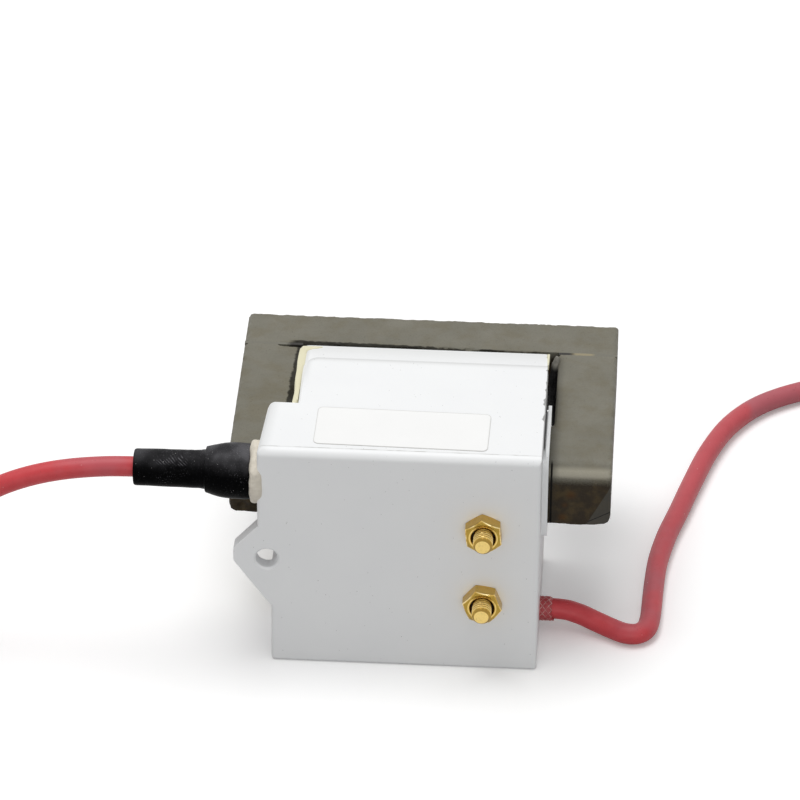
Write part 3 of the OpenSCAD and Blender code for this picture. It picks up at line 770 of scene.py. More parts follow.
# %% Resin smear and finish
SMEAR_H, SMEAR_LOW = 0.12, 49.6
SMEAR_BACK, SMEAR_FRONT = BACK - 0.15, BACK - 4.2
smear = prism("resin_smear", rounded([
    (RIGHT - 0.3, SMEAR_BACK, 0.1), (RIGHT + 0.25, SMEAR_BACK, 0.1), (RIGHT + 0.2, BACK - 2.4, 0.5),
    (RIGHT + 0.12, SMEAR_FRONT, 0.05), (RIGHT - 0.12, SMEAR_FRONT, 0.05)]),
    "Z", SMEAR_LOW, LEDGE_Z + SMEAR_H)
soften(smear, 0.08, 40)
absorb(resin, smear)
smooth(resin, 60)
casting = Finish("casting_resin")
milk = casting.grain(0.16, 3)
pinholes = casting.dots(0.9, core=0.04, reach=0.09) * casting.step(casting.grain(0.3), 0.5, 0.6)
cream = casting.mix(milk, srgb("#d9d2ab"), srgb("#e9e5cb"))
cream = casting.mix(pinholes * 0.5, cream, srgb("#8d8458"))
casting_resin = casting.done(
    Base_Color=cream, Roughness=0.3 + milk * 0.2, Coat_Weight=0.15, Normal=casting.bump(milk, 0.12, 0.5))
fit_in(resin, "resin", casting_resin, "potting_resin")

# %% [markdown]
# ## The ferrite ring
# A U and a closing bar of sintered ferrite make the ring. Ferrite breaks like stone: its edges are
# worn, a lower corner of the U has shelled off and the inner edges are nicked. The U starts as its
# yoke, and the legs are pulled out of that, so they share its faces. Weights round each edge by its
# own amount, as on the real core, where only the top front edge is a large round.

# %% U core and bar
CORE_LEFT, CORE_RIGHT, LEG_W, LEG_END = -36.4, 40.9, 12.1, 32.4
LEFT_LEG, RIGHT_LEG, CORE_MID = CORE_LEFT + LEG_W, CORE_RIGHT - LEG_W, (CORE_LEFT + CORE_RIGHT) / 2
BAR_FRONT, BAR_BACK, BAR_EDGE = 33.2, 44.4, 0.5
YOKE_R = 4.0

core = box("ferrite_u", (CORE_LEFT, YOKE_FRONT, CORE_LOW), (CORE_RIGHT, YOKE_BACK, CORE_TOP))
for cut_x in (LEFT_LEG, RIGHT_LEG):
    slice_at(core, (cut_x, 0, 0), (1, 0, 0))
pick(core, "FACE", lambda p, n: n.y > 0.9 and not LEFT_LEG < p.x < RIGHT_LEG)
pull(0, LEG_END - YOKE_BACK, 0)
round_edges(core, YOKE_R, [
    (lambda p: p.y < YOKE_FRONT + NEAR and p.z > CORE_TOP - NEAR, 1.0),
    (lambda p: p.y > LEG_END - NEAR, 0.0),
    (lambda p: abs(p.x - RIGHT_LEG) < NEAR and p.z > CORE_TOP - NEAR, 0.03),
    (lambda p: p.z < CORE_LOW + NEAR and abs(p.x - CORE_MID) > 38, 0.5),
    (lambda p: True, 0.12)], segments=8)
bar = box("ferrite_bar", (CORE_LEFT, BAR_FRONT, CORE_LOW), (CORE_RIGHT, BAR_BACK, CORE_TOP))
round_edges(bar, BAR_EDGE, [(lambda p: p.y < BAR_FRONT + NEAR, 0.0), (lambda p: True, 1.0)], segments=3)
print("sound U and bar:", len(core.data.polygons), "and", len(bar.data.polygons), "faces")

# %% [markdown]
# ### Nicks, chips and worn edges
# Balls bite the nicks out of the sharp edges first. The remesh comes after them, because it also evens
# out the thin faces that a cut leaves. Then the chip's planes and the noise can move the even faces.

# %% Nicks and chips
NICKS = [
    (core, (-24.0, 14.6, 43.3), (1.7, 4.2, 1.5)), (core, (-24.1, 9.0, 43.3), (1.2, 3.0, 1.2)),
    (core, (-24.6, 32.4, 43.1), (5.4, 0.9, 0.8)),
    (bar, (-22.5, 33.0, 43.3), (5.6, 1.0, 1.0)), (bar, (-11.0, 33.0, 43.3), (7.2, 0.8, 0.8)),
    (bar, (6.0, 33.1, 43.2), (9.0, 0.5, 0.6)), (core, (-33.4, -8.7, 30.2), (1.1, 0.7, 1.0)),
]
for target, middle, size in NICKS:
    carve(target, ball("nick", middle, size, 3))
CHIP_X, CHIP_Z = 36.4, 29.3
CHIP_START, CHIP_BEND = (CHIP_X, YOKE_FRONT, CHIP_Z), (CORE_RIGHT, YOKE_FRONT + 0.5, 31.5)
CHIPS = [
    [CHIP_START, (CORE_RIGHT, YOKE_FRONT, 38.1), CHIP_BEND],
    [CHIP_START, CHIP_BEND, (CORE_RIGHT, YOKE_FRONT + 1.0, CORE_LOW)],
]


def shell_off(p, way):
    """A chip is a slanting plane through three points: what stands in front of it goes back to it."""
    for a, b, c in ([Vector(spot) for spot in chip] for chip in CHIPS):
        across = (b - a).cross(c - a)
        p.y = max(p.y, a.y - (across.x * (p.x - a.x) + across.z * (p.z - a.z)) / across.y)
    return p


print(len(NICKS), "nicks cut,", len(CHIPS), "chip planes ready")

# %% Worn edges
JOINT_Y, FLAT, FERRITE_VOXEL = (LEG_END + BAR_FRONT) / 2, 0.97, 0.4
WEAR, FINE_WEAR, SKIN_WAVE = 0.28, 0.16, 0.03


def crisp_edge(p):
    """Edges that stay crisp: the outer ends of the two joints, and the right leg beside the case."""
    joint = abs(p.y - JOINT_Y) < 1.2 and (p.x > 29.5 or p.x < -29.25)
    return joint or (abs(p.x - RIGHT_LEG) < 1 and p.y > YOKE_BACK)


def wear(piece, seed):
    """Edges lose a little, more where the noise is high; the flats keep still."""
    def move(p, n):
        flat = max(abs(n.x), abs(n.y), abs(n.z))
        on_fillet = p.y < YOKE_FRONT + YOKE_R and p.z > CORE_TOP - YOKE_R - 0.2 and abs(n.x) < 0.3
        if flat < FLAT and not on_fillet:
            depth = max(0, noise.noise(p * 0.45 + Vector((seed, 0, 0))) + 0.1) * WEAR
            depth += max(0, noise.noise(p * 1.7 + Vector((0, seed, 0)))) * FINE_WEAR
            p = p - n * depth * (not crisp_edge(p))
        return p + n * SKIN_WAVE * noise.noise(p * 1.3)
    reshape(piece, move)


for piece, seed in ((core, 4.0), (bar, 9.0)):
    modify(piece, "REMESH", mode="VOXEL", voxel_size=FERRITE_VOXEL * MM)
    if piece is core:
        reshape(core, shell_off)
    wear(piece, seed)
    smooth(piece, 60)
    print(piece.name, "is worn")

# %% [markdown]
# ### Sintered ferrite
# The top is a ground grey with a green-brown cast and fine pores. The front of the yoke was never
# ground: it is nearly black, with brown firing stains. A lighter band along the round of its top
# front edge is a painted highlight.

# %% Ground top and fired front
sinter = Finish("sintered_ferrite")
x, y, z = sinter.axes()
mottle = sinter.grain(0.1, 5, 0.62)
pores = sinter.grain(4, 3, 0.7)
patch = sinter.step(sinter.grain(0.22, 4, 0.6), 0.4, 0.68)
pits = sinter.dots(0.8, reach=0.11) * sinter.step(sinter.grain(0.25), 0.5, 0.62)
ground = sinter.mix(mottle, srgb("#69675c"), srgb("#858276"))
ground = sinter.mix(patch * 0.35, ground, srgb("#6d654f"))
ground = sinter.mix(sinter.step(pores, 0.52, 0.72) * 0.4, ground, srgb("#4a483f"))
ground = sinter.mix(pits * 0.6, ground, srgb("#2a2823"))
# Painted highlight: a lighter band along the round of the yoke's front top edge.
fillet_highlight = sinter.band(z, (39.2, 40.3), (40.9, 42.0)) * (1 - sinter.step(y, -7.2, -6.2))
ground = sinter.mix(fillet_highlight * (0.4 + pores * 0.6), ground, srgb("#b3ae9e"))
fired = sinter.mix(sinter.step(sinter.grain(0.35, 3), 0.42, 0.66), srgb("#2a2217"), srgb("#433722"))
fired = sinter.mix(sinter.step(pores, 0.5, 0.75) * 0.4, fired, srgb("#4d4536"))
STAINS = [(32.8, 35.6, 1.3), (31.7, 33.1, 1.0), (31.2, 30.2, 1.1), (-32.6, 36.0, 1.2)]
for stain_x, stain_z, reach in STAINS:
    away = ((x - stain_x) ** 2 + (z - stain_z) ** 2) ** 0.5 + mottle * 1.4
    fired = sinter.mix((1 - sinter.step(away, reach * 0.6, reach * 1.9)) * 0.6, fired, srgb("#4c2f0c"))
print(len(STAINS), "firing stains on the yoke's front")

# %% [markdown]
# ### Breaks and painted shade on the rims
# The fresh break is slate grey with a dark crack at its edge. The inner rims of the window are black
# with painted shade, and painted shade darkens the right leg's top beside the case. Distances from
# planes and edges place them, and a noise makes their borders ragged.

# %% Breaks and painted shade on the rims
past_break = (x - CHIP_X) * 0.89 - (z - CHIP_Z) * 0.455
beside_crack = ((x - CHIP_X) * 0.44 - (z - CHIP_Z) * 0.898).absolute()
broken = sinter.step(past_break + pores * 0.1, 0.0, 0.12)
crack = 1 - sinter.step(beside_crack + pores * 0.06, 0.06, 0.2)
crack = crack * sinter.step(x, CHIP_X - 0.2, CHIP_X + 0.2)
fired = sinter.mix(broken * 0.8, fired, srgb("#4a4842"))
fired = sinter.mix(crack, fired, srgb("#0b0a09"))
behind = sinter.step(y, -5.5, -4.3)
low = 1 - sinter.step(z + pores * 2.4 - behind * 2.5, 39.0, 41.2)
grey = sinter.mix(low, ground, fired)
# Painted shade: black along the right leg's inner edge and the window's inner rims.
right_wall_shade = (1 - sinter.step((x - RIGHT_LEG).absolute(), 0.1, 0.3)) * (1 - sinter.step(z, 41.8, 42.5))
right_wall_shade = right_wall_shade * (1 - sinter.step(y, LEG_END, BAR_FRONT))
ragged = sinter.grain(0.5, 4, 0.7)
left_edge = x + 26.5 - (y - 2) * 0.036 + (ragged - 0.5) * 1.5
left_rim_shade = sinter.step(left_edge, -0.2, 0.2) * (1 - sinter.step(x, -20, -19))
left_rim_shade = left_rim_shade * sinter.band(y, (-1, 1), (32.2, 32.5))
bar_edge = y - 34.1 + (x + 22) * 0.022 + (ragged - 0.5) * 1.3
bar_rim_shade = (1 - sinter.step(bar_edge, -0.16, 0.16)) * sinter.step(y, 32.9, 33.1)
bar_rim_shade = bar_rim_shade * sinter.band(x, (-27.5, -25.5), (24, 28))
inner = right_wall_shade.most(left_rim_shade.most(bar_rim_shade) * (0.66 + ragged * 0.32))
shade = sinter.band(x, (20, 21), (28.7, 30.6)) * (1 - sinter.step(y, 30.5, 32.3))
grey = sinter.mix(shade * 0.45, grey, srgb("#2a2823"))
grey = sinter.mix(inner, grey, srgb("#0a0908"))
sintered_ferrite = sinter.done(
    Base_Color=grey, Roughness=0.36 + pores * 0.16 + patch * 0.1 + inner * 0.4, Specular_IOR_Level=0.14,
    Normal=sinter.bump(pores + mottle, 0.03, 0.5))
fit_in(core, "ferrite", sintered_ferrite, "core_u")
fit_in(bar, "ferrite", sintered_ferrite, "core_bar")

# %% [markdown]
# ## The gap shims
# A strip of insulating sheet in each joint sets the core's air gap. The CAD sheets have the right shape
# already, so they stay and only get a finish: dark inside, and paler paper along the outer right edge.

# %% Gap shims
spacer = Finish("spacer_sheet")
x, y, z = spacer.axes()
fibre = spacer.grain(2.2, 3)
from_mid = (x - CORE_MID).absolute() + fibre
outer = spacer.step(from_mid, 29.2, 30.8)
rubbed_off = spacer.step(from_mid, 33.6, 34.8)
paper_edge = spacer.mix(rubbed_off.most(1 - spacer.step(x, 0, 1)), srgb("#8f866c"), srgb("#706e63"))
glued = spacer.mix(fibre, srgb("#0f0e0c"), srgb("#28241d"))
spacer_sheet = spacer.done(
    Base_Color=spacer.mix(outer, glued, paper_edge), Roughness=0.6 + fibre * 0.2,
    Normal=spacer.bump(fibre, 0.03, 0.4))
for name in ("gap_shim_left", "gap_shim_right"):
    paint(nodes[name], spacer_sheet)
    print(name, "is painted")

# %% [markdown]
# ## The glue drops
# Cement was pressed into the inner corners of the joints. The long drop in the right corner reaches
# down into the gap beside the case, and below the core's top the drops are near black: painted
# shade that fills the dark gaps. Each drop starts as a ball of triangles, which has no poles, is
# stretched to its size and pushed about by noise.

# %% Glue drops
DROPS = [((28.5, 30.3, 34.6), (1.6, 2.0, 9.0), 2.0), ((-24.0, 32.0, 40.6), (0.8, 1.0, 2.0), 7.0)]
DROP_LUMP = 0.35
drops = []
for middle, size, seed in DROPS:
    drop = ball("glue_drop", middle, size, 4)
    reshape(drop, lambda p, n: p + n * DROP_LUMP * noise.noise(p * 0.9 + Vector((seed, 0, 0))))
    drops.append(drop)
absorb(*drops)
drops[0].name = drops[0].data.name = "glue_drops"
smooth(drops[0], 80)
cement = Finish("grey_glue")
lump = cement.grain(0.9, 3)
x, y, z = cement.axes()
dusty_top = cement.mix(lump, srgb("#4a4842"), srgb("#97948b"))
# Near black below the core's top is painted shade in the gaps; above it is the glue's own grey.
grey_glue = cement.done(
    Base_Color=cement.mix(cement.step(z, 40.6, 42.2), srgb("#060505"), dusty_top),
    Roughness=0.6 + lump * 0.3, Specular_IOR_Level=0.2, Normal=cement.bump(lump, 0.1, 0.5))
fit_in(drops[0], "glue", grey_glue, "core_glue")

# %% [markdown]
# ## The coil former
# The yoke lies in a square tube that carries the windings. Only its end flange shows, a thin plate
# against the right wall with one large round corner. The flange is a prism, the tube is joined to it and
# the yoke's passage is cut through both.

# %% Coil former
FLANGE_T, FLANGE_LOW, FLANGE_HIGH, FLANGE_FRONT = 1.2, 26.4, 46.0, -10.3
TUBE_START, TUBE_PLAY, FAR = -24.1, 0.05, 30.0
former = prism("former_flange", rounded([
    (FLANGE_FRONT, FLANGE_LOW, 0.6), (7.9, FLANGE_LOW, 0.6), (8.6, FLANGE_HIGH, 0.5),
    (FLANGE_FRONT, FLANGE_HIGH, 4.0)]), "X", RIGHT, RIGHT + FLANGE_T)
tube = prism("former_tube", yoke_loop(FORMER_OUT - TUBE_PLAY), "X", TUBE_START, RIGHT + 0.2)
carve(former, tube, "UNION")
carve(former, prism("former_bore", yoke_loop(FORMER_IN), "X", -FAR, RIGHT + 5))
carve(former, box("former_slot", (RIGHT - 1, -FAR, CORE_TOP + FORMER_OUT), (RIGHT + 0.5, FAR, 2 * FAR)))
soften(former, 0.12, 50)
smooth(former, 30, flat=True)
fit_in(former, "former", white_plastic, "coil_former")

# %% [markdown]
# ## Inside the case
# The windings, the bobbin, the rectifier and its wires are cast in and never seen, so the CAD solids
# stay, and only get their finishes: lacquered copper with fine turns, cream bobbin and black epoxy.

# %% Inner finishes
lacquer = Finish("lacquered_copper")
x, y, z = lacquer.axes()
turns = (x * 18).wave()
lacquered_copper = lacquer.done(
    Base_Color=lacquer.mix(lacquer.grain(0.5), srgb("#8a4a22"), srgb("#c27a42")), Metallic=0.7,
    Roughness=0.35, Normal=lacquer.bump(turns, 0.05, 0.6))
nylon = Finish("cream_bobbin")
cream_bobbin = nylon.done(
    Base_Color=nylon.mix(nylon.grain(0.4), srgb("#e0d8c2"), srgb("#ece6d6")), Roughness=0.5)
epoxy = Finish("black_epoxy")
black_epoxy = epoxy.done(
    Base_Color=epoxy.mix(epoxy.grain(0.8), srgb("#1c1b1a"), srgb("#302e2c")), Roughness=0.4)
INNER = {
    lacquered_copper: ("primary_winding", "secondary_winding", "hv_link", "secondary_link", "return_link",
                       "primary_link_upper", "primary_link_lower"),
    cream_bobbin: ("secondary_bobbin",),
    black_epoxy: ("hv_rectifier",),
}
for material, names in INNER.items():
    for name in names:
        paint(nodes[name], material)
    print(material.name, "goes on", len(names), "solids")

# %% [markdown]
# ## Brass terminals
# Each terminal is an M4 stud with a hexagon nut. The stud is turned, and its thread is cut by moving
# each vertex in by where it lies on the helix. The nut is a hexagon prism that a lathe shape
# trims, so that the chamfer leaves the curved tops on its flats. The edge between flats and chamfer
# gets a painted highlight, and the finish finds that edge from the shape of the hexagon.

# %% Stud
STUD_X, STUD_LOW, STUD_HIGH, STUD_R = 15.8, 17.0, 34.1, 2.0
STUD_REACH, PITCH_MM, THREAD_DEPTH = 6.1, 0.7, 0.36
NUT_T, NUT_AF = 3.0, 7.0
NUT_TURN = {STUD_HIGH: 5.5, STUD_LOW: 21.0}
CHAMFER_R, CHAMFER_END = NUT_AF / 2 - 0.25, NUT_T - 0.02
CHAMFER_SLOPE = 1.486
NUT_FACE, STUD_END = FRONT - NUT_T, FRONT - STUD_REACH


def stud(name, z):
    """A turned stud with its root inside the case and a thread on its shank."""
    rings = 88
    profile = [(-4.4, 0), (-4.4, 3.6), (-4.0, 4.0), (-2.6, 4.0), (-2.2, 3.7), (-2.2, STUD_R), (0.3, STUD_R)]
    for k in range(1, rings + 1):
        along = 0.3 + (STUD_REACH - 0.3) * k / rings
        profile.append((along, min(STUD_R, 1.45 + (STUD_REACH - along) * 1.1)))
    profile += [(STUD_REACH, 0.9), (STUD_REACH, 0)]
    piece = turned(name, profile, (STUD_X, FRONT, z), (0, -1, 0), steps=96)

    def thread(p, n):
        across = Vector((p.x - STUD_X, 0, p.z - z))
        along = FRONT - p.y
        if along > 0.3 and across.length > 1.3:
            phase = (along / PITCH_MM - math.atan2(across.z, across.x) / (2 * math.pi)) % 1
            crest = STUD_R - THREAD_DEPTH * (0.5 - 0.5 * math.cos(2 * math.pi * phase)) ** 1.4
            if across.length > crest:
                p = Vector((STUD_X, p.y, z)) + across.normalized() * crest
        return p

    reshape(piece, thread)
    smooth(piece, 28)
    return piece


print("a stud reaches", STUD_REACH, "mm out of the front")

# %% Nut
def nut(name, z, turn):
    """A hexagon prism, trimmed by a lathe shape, bored and countersunk."""
    corner_r = NUT_AF / 2 / math.cos(math.radians(30))
    corners = [(STUD_X + corner_r * math.cos(a), z + corner_r * math.sin(a))
               for a in (math.radians(90 + turn + 60 * k) for k in range(6))]
    piece = prism(name, corners, "Y", FRONT, FRONT - NUT_T)
    lathe = turned("nut_lathe", [
        (-0.001, 0), (-0.001, NUT_AF / 2), (0.3, corner_r + 0.15), (NUT_T - 0.62, corner_r + 0.1),
        (CHAMFER_END, CHAMFER_R), (CHAMFER_END, 0)], (STUD_X, FRONT, z), (0, -1, 0), 96)
    carve(piece, lathe, "INTERSECT")
    carve(piece, rod("nut_bore", (STUD_X, FRONT + 1, z), (STUD_X, FRONT - 5, z), 2.2))
    carve(piece, rod("nut_sink", (STUD_X, NUT_FACE + 1.1, z), (STUD_X, NUT_FACE - 0.4, z), 2.1, 2.75))
    smooth(piece, 20, flat=True)
    return piece


print("a nut is", NUT_AF, "mm across its flats")

# %% [markdown]
# ### Turned brass
# Old brass is brown and green with tarnish in patches. Painted shade darkens the nuts' wells, the
# shanks beside them and the studs' end chamfers, and painted highlights lighten the nuts' flats, the
# wells' lips, the edges between flats and chamfer and the thread's crests. How far a point lies from
# the stud's axis and out of the front tells thread, well and flats apart, so one finish serves all.

# %% Brass with painted shade and highlights
turned_brass = Finish("turned_brass")
x, y, z = turned_brass.axes()
tarnish = turned_brass.grain(0.45, 4, 0.65)
scratch = turned_brass.grain(6, 2, 0.6)
gold = turned_brass.mix(tarnish, srgb("#a68136"), srgb("#d2af5c"))
brown = turned_brass.step(turned_brass.grain(1.4, 3), 0.56, 0.74)
green = turned_brass.step(turned_brass.grain(0.8, 3), 0.58, 0.7)
gold = turned_brass.mix(brown * 0.6, gold, srgb("#6f4d1a"))
gold = turned_brass.mix(green * 0.3, gold, srgb("#7d7a2c"))
off_axis = (z - STUD_HIGH).absolute().least((z - STUD_LOW).absolute())
across = ((x - STUD_X) ** 2 + off_axis ** 2) ** 0.5
# Painted shade: dark in the nuts' wells and on the shanks beside them.
well = turned_brass.step(y, NUT_FACE + 0.1, NUT_FACE + 1.0) * (1 - turned_brass.step(across, 2.6, 2.8))
shank = (1 - turned_brass.step(across, 2.0, 2.06)) * turned_brass.step(y, STUD_END + 0.9, NUT_FACE - 0.4)
gold = turned_brass.mix(well.most(shank * 0.4) * 0.85, gold, srgb("#391c06"))
end_face = 1 - turned_brass.step(y, STUD_END + 0.04, STUD_END + 0.1)
# Painted shade on the studs' end chamfers.
chamfer = (1 - turned_brass.step(y, STUD_END + 0.3, STUD_END + 0.7)) * turned_brass.step(across, 1.44, 1.5)
gold = turned_brass.mix(chamfer * 0.4, gold, srgb("#3d280a"))
gold = turned_brass.mix(end_face * (1 - chamfer) * (0.3 + scratch * 0.4), gold, srgb("#f0d890"))
# Painted highlights: lighter flats behind the nut's front and a bright lip round each well.
flats = turned_brass.step(across, 3.3, 3.45) * turned_brass.step(y, NUT_FACE + 0.4, NUT_FACE + 0.7)
gold = turned_brass.mix(flats * 0.45, gold, srgb("#dcbb6a"))
lip_highlight = turned_brass.band(across, (2.66, 2.74), (2.84, 2.95))
gold = turned_brass.mix(lip_highlight * 0.5, gold, srgb("#f0d890"))
print("brass is dark in the nuts' wells and pale on the studs' ends")

# %% Painted edge highlights and thread
def flat_reach(height):
    """How far a point of a nut lies from its axis, towards the nearest of the six flats."""
    ways = [math.radians(NUT_TURN[height] + 60 * k) for k in range(3)]
    spans = [((x - STUD_X) * math.cos(a) + (z - height) * math.sin(a)).absolute() for a in ways]
    return spans[0].most(spans[1]).most(spans[2])


on_upper = z.over((STUD_LOW + STUD_HIGH) / 2)
below_flat = NUT_AF / 2 - flat_reach(STUD_LOW) * (1 - on_upper) - flat_reach(STUD_HIGH) * on_upper
below_chamfer = (y - FRONT + CHAMFER_END) * CHAMFER_SLOPE + CHAMFER_R - across
on_nut = turned_brass.step(across, 2.9, 3.0)
front_ring = on_nut * turned_brass.step(below_flat, 0.1, 0.3) * (0.3 + tarnish * 0.5)
gold = turned_brass.mix(front_ring, gold, srgb("#7f6a24"))
# Painted highlight along the edge between the flats and the chamfer.
edge_highlight = on_nut * (1 - turned_brass.step(below_flat + below_chamfer, 0.07, 0.24))
gold = turned_brass.mix(edge_highlight * turned_brass.step(tarnish, 0.42, 0.66) * 0.8, gold, srgb("#fbeab4"))
threaded = turned_brass.band(FRONT - y, (NUT_T, NUT_T + 0.3), (5.3, 5.5))
# Painted highlights on the thread's crests and painted shade in its roots.
crest = turned_brass.band(across, (1.84, 1.97), (2.02, 2.1)) * threaded
root = (1 - turned_brass.step(across, 1.66, 1.8)) * threaded
gold = turned_brass.mix(crest * 0.5, gold, srgb("#ffe9a8"))
gold = turned_brass.mix(root * 0.65, gold, srgb("#3a2408"))
brass = turned_brass.done(
    Base_Color=gold, Metallic=1.0, Roughness=0.12 + tarnish * 0.14 + scratch * 0.08,
    Normal=turned_brass.bump(scratch + tarnish * 2, 0.03, 0.6))
for name, height in (("upper", STUD_HIGH), ("lower", STUD_LOW)):
    fit_in(stud("stud_" + name, height), "brass", brass, "terminal_stud_" + name)
    fit_in(nut("nut_" + name, height, NUT_TURN[height]), "brass", brass, "hex_nut_" + name)

# %% [markdown]
# ## The label
# A bare film label lies on the top, a little askew. It is a thin plate with round corners. The grey
# line along its rim is painted by the distance from the rounded outline, which needs no more faces.

# %% Label
LABEL_MIDDLE, LABEL_W, LABEL_D, LABEL_T = Vector((-1.2, -10.55, TOP)), 34.9, 13.3, 0.15
LABEL_R, LABEL_TURN = 1.2, math.radians(0.9)
half_w, half_d = LABEL_W / 2, LABEL_D / 2
label = prism("label_film", rounded([
    (-half_w, -half_d, LABEL_R), (half_w, -half_d, LABEL_R), (half_w, half_d, LABEL_R),
    (-half_w, half_d, LABEL_R)]), "Z", 0.0, LABEL_T)
lay = Matrix.Translation(LABEL_MIDDLE) @ Matrix.Rotation(-LABEL_TURN, 4, "Z")
reshape(label, lambda p, n: lay @ p)
smooth(label, 30)
film = Finish("label_film")
paper = film.grain(2.5, 3)
x, y, z = film.axes()
cos_turn, sin_turn = math.cos(LABEL_TURN), math.sin(LABEL_TURN)
along = ((x - LABEL_MIDDLE.x) * cos_turn - (y - LABEL_MIDDLE.y) * sin_turn).absolute() - (half_w - LABEL_R)
across = ((x - LABEL_MIDDLE.x) * sin_turn + (y - LABEL_MIDDLE.y) * cos_turn).absolute() - (half_d - LABEL_R)
rim = (along.most(0) ** 2 + across.most(0) ** 2) ** 0.5 + along.most(across).least(0)
label_white = film.mix(film.grain(0.12, 2), srgb("#f2f2f1"), srgb("#f7f7f6"))
label_white = film.mix(film.step(rim, 0.98, 1.16) * 0.55, label_white, srgb("#a9a8a2"))
fit_in(label, "label", film.done(
    Base_Color=label_white, Roughness=0.42 + paper * 0.12, Normal=film.bump(paper, 0.01, 0.3)), "label")

# %% [markdown]
# ## Outlet, boot and collar
# A bead of cream compound seals the spigot to the case, and a sleeve was shrunk over spigot and lead.
# Both are turned, then the bead is made lumpy and the sleeve gets the drag marks of its shrinking.

# %% Collar
collar = turned("outlet_bead", [
    (-1.2, SPIGOT_R), (-1.2, 6.2), (0, 6.3), (0.3, 6.5), (0.9, 6.45), (1.35, 6.1), (1.6, 5.5),
    (1.6, SPIGOT_R), (-1.2, SPIGOT_R)], OUTLET, (-1, 0, 0), steps=96)
modify(collar, "SUBSURF", levels=1, render_levels=1)


def knead(p, n):
    """The bead keeps the lumps of the hand that pressed it on; its bore stays round."""
    across = Vector((0, p.y - OUTLET.y, p.z - OUTLET.z))
    if across.length > 4.6:
        grow = 0.35 * noise.noise(p * 0.45) + 0.12 * noise.noise(p * 1.6)
        p = p + across.normalized() * grow
        if p.x < OUTLET.x - 0.5:
            p.x += 0.3 * noise.noise(p * 0.5 + Vector((9, 0, 0)))
    return p


reshape(collar, knead)
smooth(collar, 60)
compound = Finish("cream_compound")
putty = compound.grain(1.1, 4, 0.6)
fit_in(collar, "collar", compound.done(
    Base_Color=compound.mix(putty, srgb("#cbc3b3"), srgb("#e4ddd0")), Roughness=0.5 + putty * 0.2,
    Normal=compound.bump(putty, 0.15, 0.6)), "outlet_collar")

# %% Boot shape
BOOT_PROFILE = [
    (1.5, SPIGOT_R), (1.5, 5.35), (1.8, 5.62), (3.4, 5.7), (5.4, 5.7), (7.4, 5.45), (9.2, 5.05),
    (10.2, 4.74), (10.5, 4.68), (10.62, 4.45), (10.68, 4.12), (10.8, 4.0), (11.3, 3.95), (11.6, 3.85),
    (12.2, 3.82), (15, 3.8), (19, 3.79), (23, 3.76), (24.6, 3.74), (25.0, 3.55), (25.1, 3.1),
    (25.1, HV_D / 2), (12.5, HV_D / 2), (9.6, HV_D / 2), (9.6, SPIGOT_R), (1.5, SPIGOT_R),
]
boot = turned("shrink_boot", BOOT_PROFILE, OUTLET, (-1, 0, 0), steps=72)
pick(boot, "FACE", lambda p, n: True)
bpy.ops.mesh.subdivide(number_cuts=1)
alone(boot)
modify(boot, "SUBSURF", levels=1, render_levels=1)


def shrink(p, n):
    """Long soft lumps all over and slanting drag marks on the neck near the shoulder."""
    along = OUTLET.x - p.x
    across = Vector((0, p.y - OUTLET.y, p.z - OUTLET.z))
    if across.length > 2.6:
        angle = math.atan2(across.z, across.y)
        lump = 0.12 * noise.noise(Vector((along * 0.3, math.cos(angle) * 1.2, math.sin(angle) * 1.2)))
        drag = math.sin(along * 3.4 + angle * 5) * 0.1
        drag *= max(0, 1 - abs(along - 16) / 5) * max(0, math.sin(angle - 0.5))
        p = p + across.normalized() * (lump + drag)
    return p


reshape(boot, shrink)
smooth(boot, 60)
print("boot:", len(boot.data.polygons), "faces")

# %% [markdown]
# ### Shrink sleeve
# The sleeve is a dull black with dust and pale flecks. Its upper side gets a painted highlight that
# grows with height and carries some dust, and a patch of slanting drag marks on the neck gets painted
# highlights. The marks are a wave that a noise breaks up.

# %% Boot finish
shrunk = Finish("shrink_sleeve")
rub = shrunk.grain(0.35, 4, 0.6)
scuff = shrunk.step(shrunk.grain(0.22, 3), 0.48, 0.66)
dust = shrunk.step(shrunk.grain(4.5, 2, 0.5), 0.6, 0.72)
flecks = shrunk.dots(1.3, reach=0.12) * shrunk.step(shrunk.grain(0.5), 0.5, 0.6)
black = shrunk.mix(rub, srgb("#010101"), srgb("#040405"))
black = shrunk.mix(dust * (0.06 + scuff * 0.4), black, srgb("#68676b"))
x, y, z = shrunk.axes()
# Painted highlight on the upper side, growing with height, with some dust mixed in.
top_highlight_and_dust = shrunk.step(z + rub * 2 - 1, OUTLET.z + 1.5, OUTLET.z + 5.5)
sheen = shrunk.step(shrunk.grain(0.16, 2), 0.42, 0.66)
black = shrunk.mix(top_highlight_and_dust * (0.16 + sheen * 0.34 + dust * 0.3), black, srgb("#7b7a7e"))
# Painted highlights on the slanting drag marks of the neck.
drag_mark_highlights = shrunk.step((x * 9 + z * 15.5 + rub * 2).wave(), 0.2, 0.9) * shrunk.step(z, 44.9, 45.3)
drag_mark_highlights = drag_mark_highlights * shrunk.band(x, (-50.5, -49), (-45, -43.5)) * (1 - shrunk.step(z, 46.0, 46.3))
drag_mark_highlights = drag_mark_highlights * (1 - shrunk.step(y, -14.6, -14.2)) * shrunk.step(shrunk.grain(0.9, 2), 0.36, 0.6)
black = shrunk.mix(drag_mark_highlights * 0.5, black, srgb("#77767a"))
black = shrunk.mix(flecks * 0.7, black, srgb("#c4c2c0"))
fit_in(boot, "boot", shrunk.done(
    Base_Color=black, Roughness=0.26 + rub * 0.14 + dust * 0.1, Specular_IOR_Level=0.015,
    Normal=shrunk.bump(rub + dust * 0.5, 0.06, 0.6)), "heat_shrink_boot")

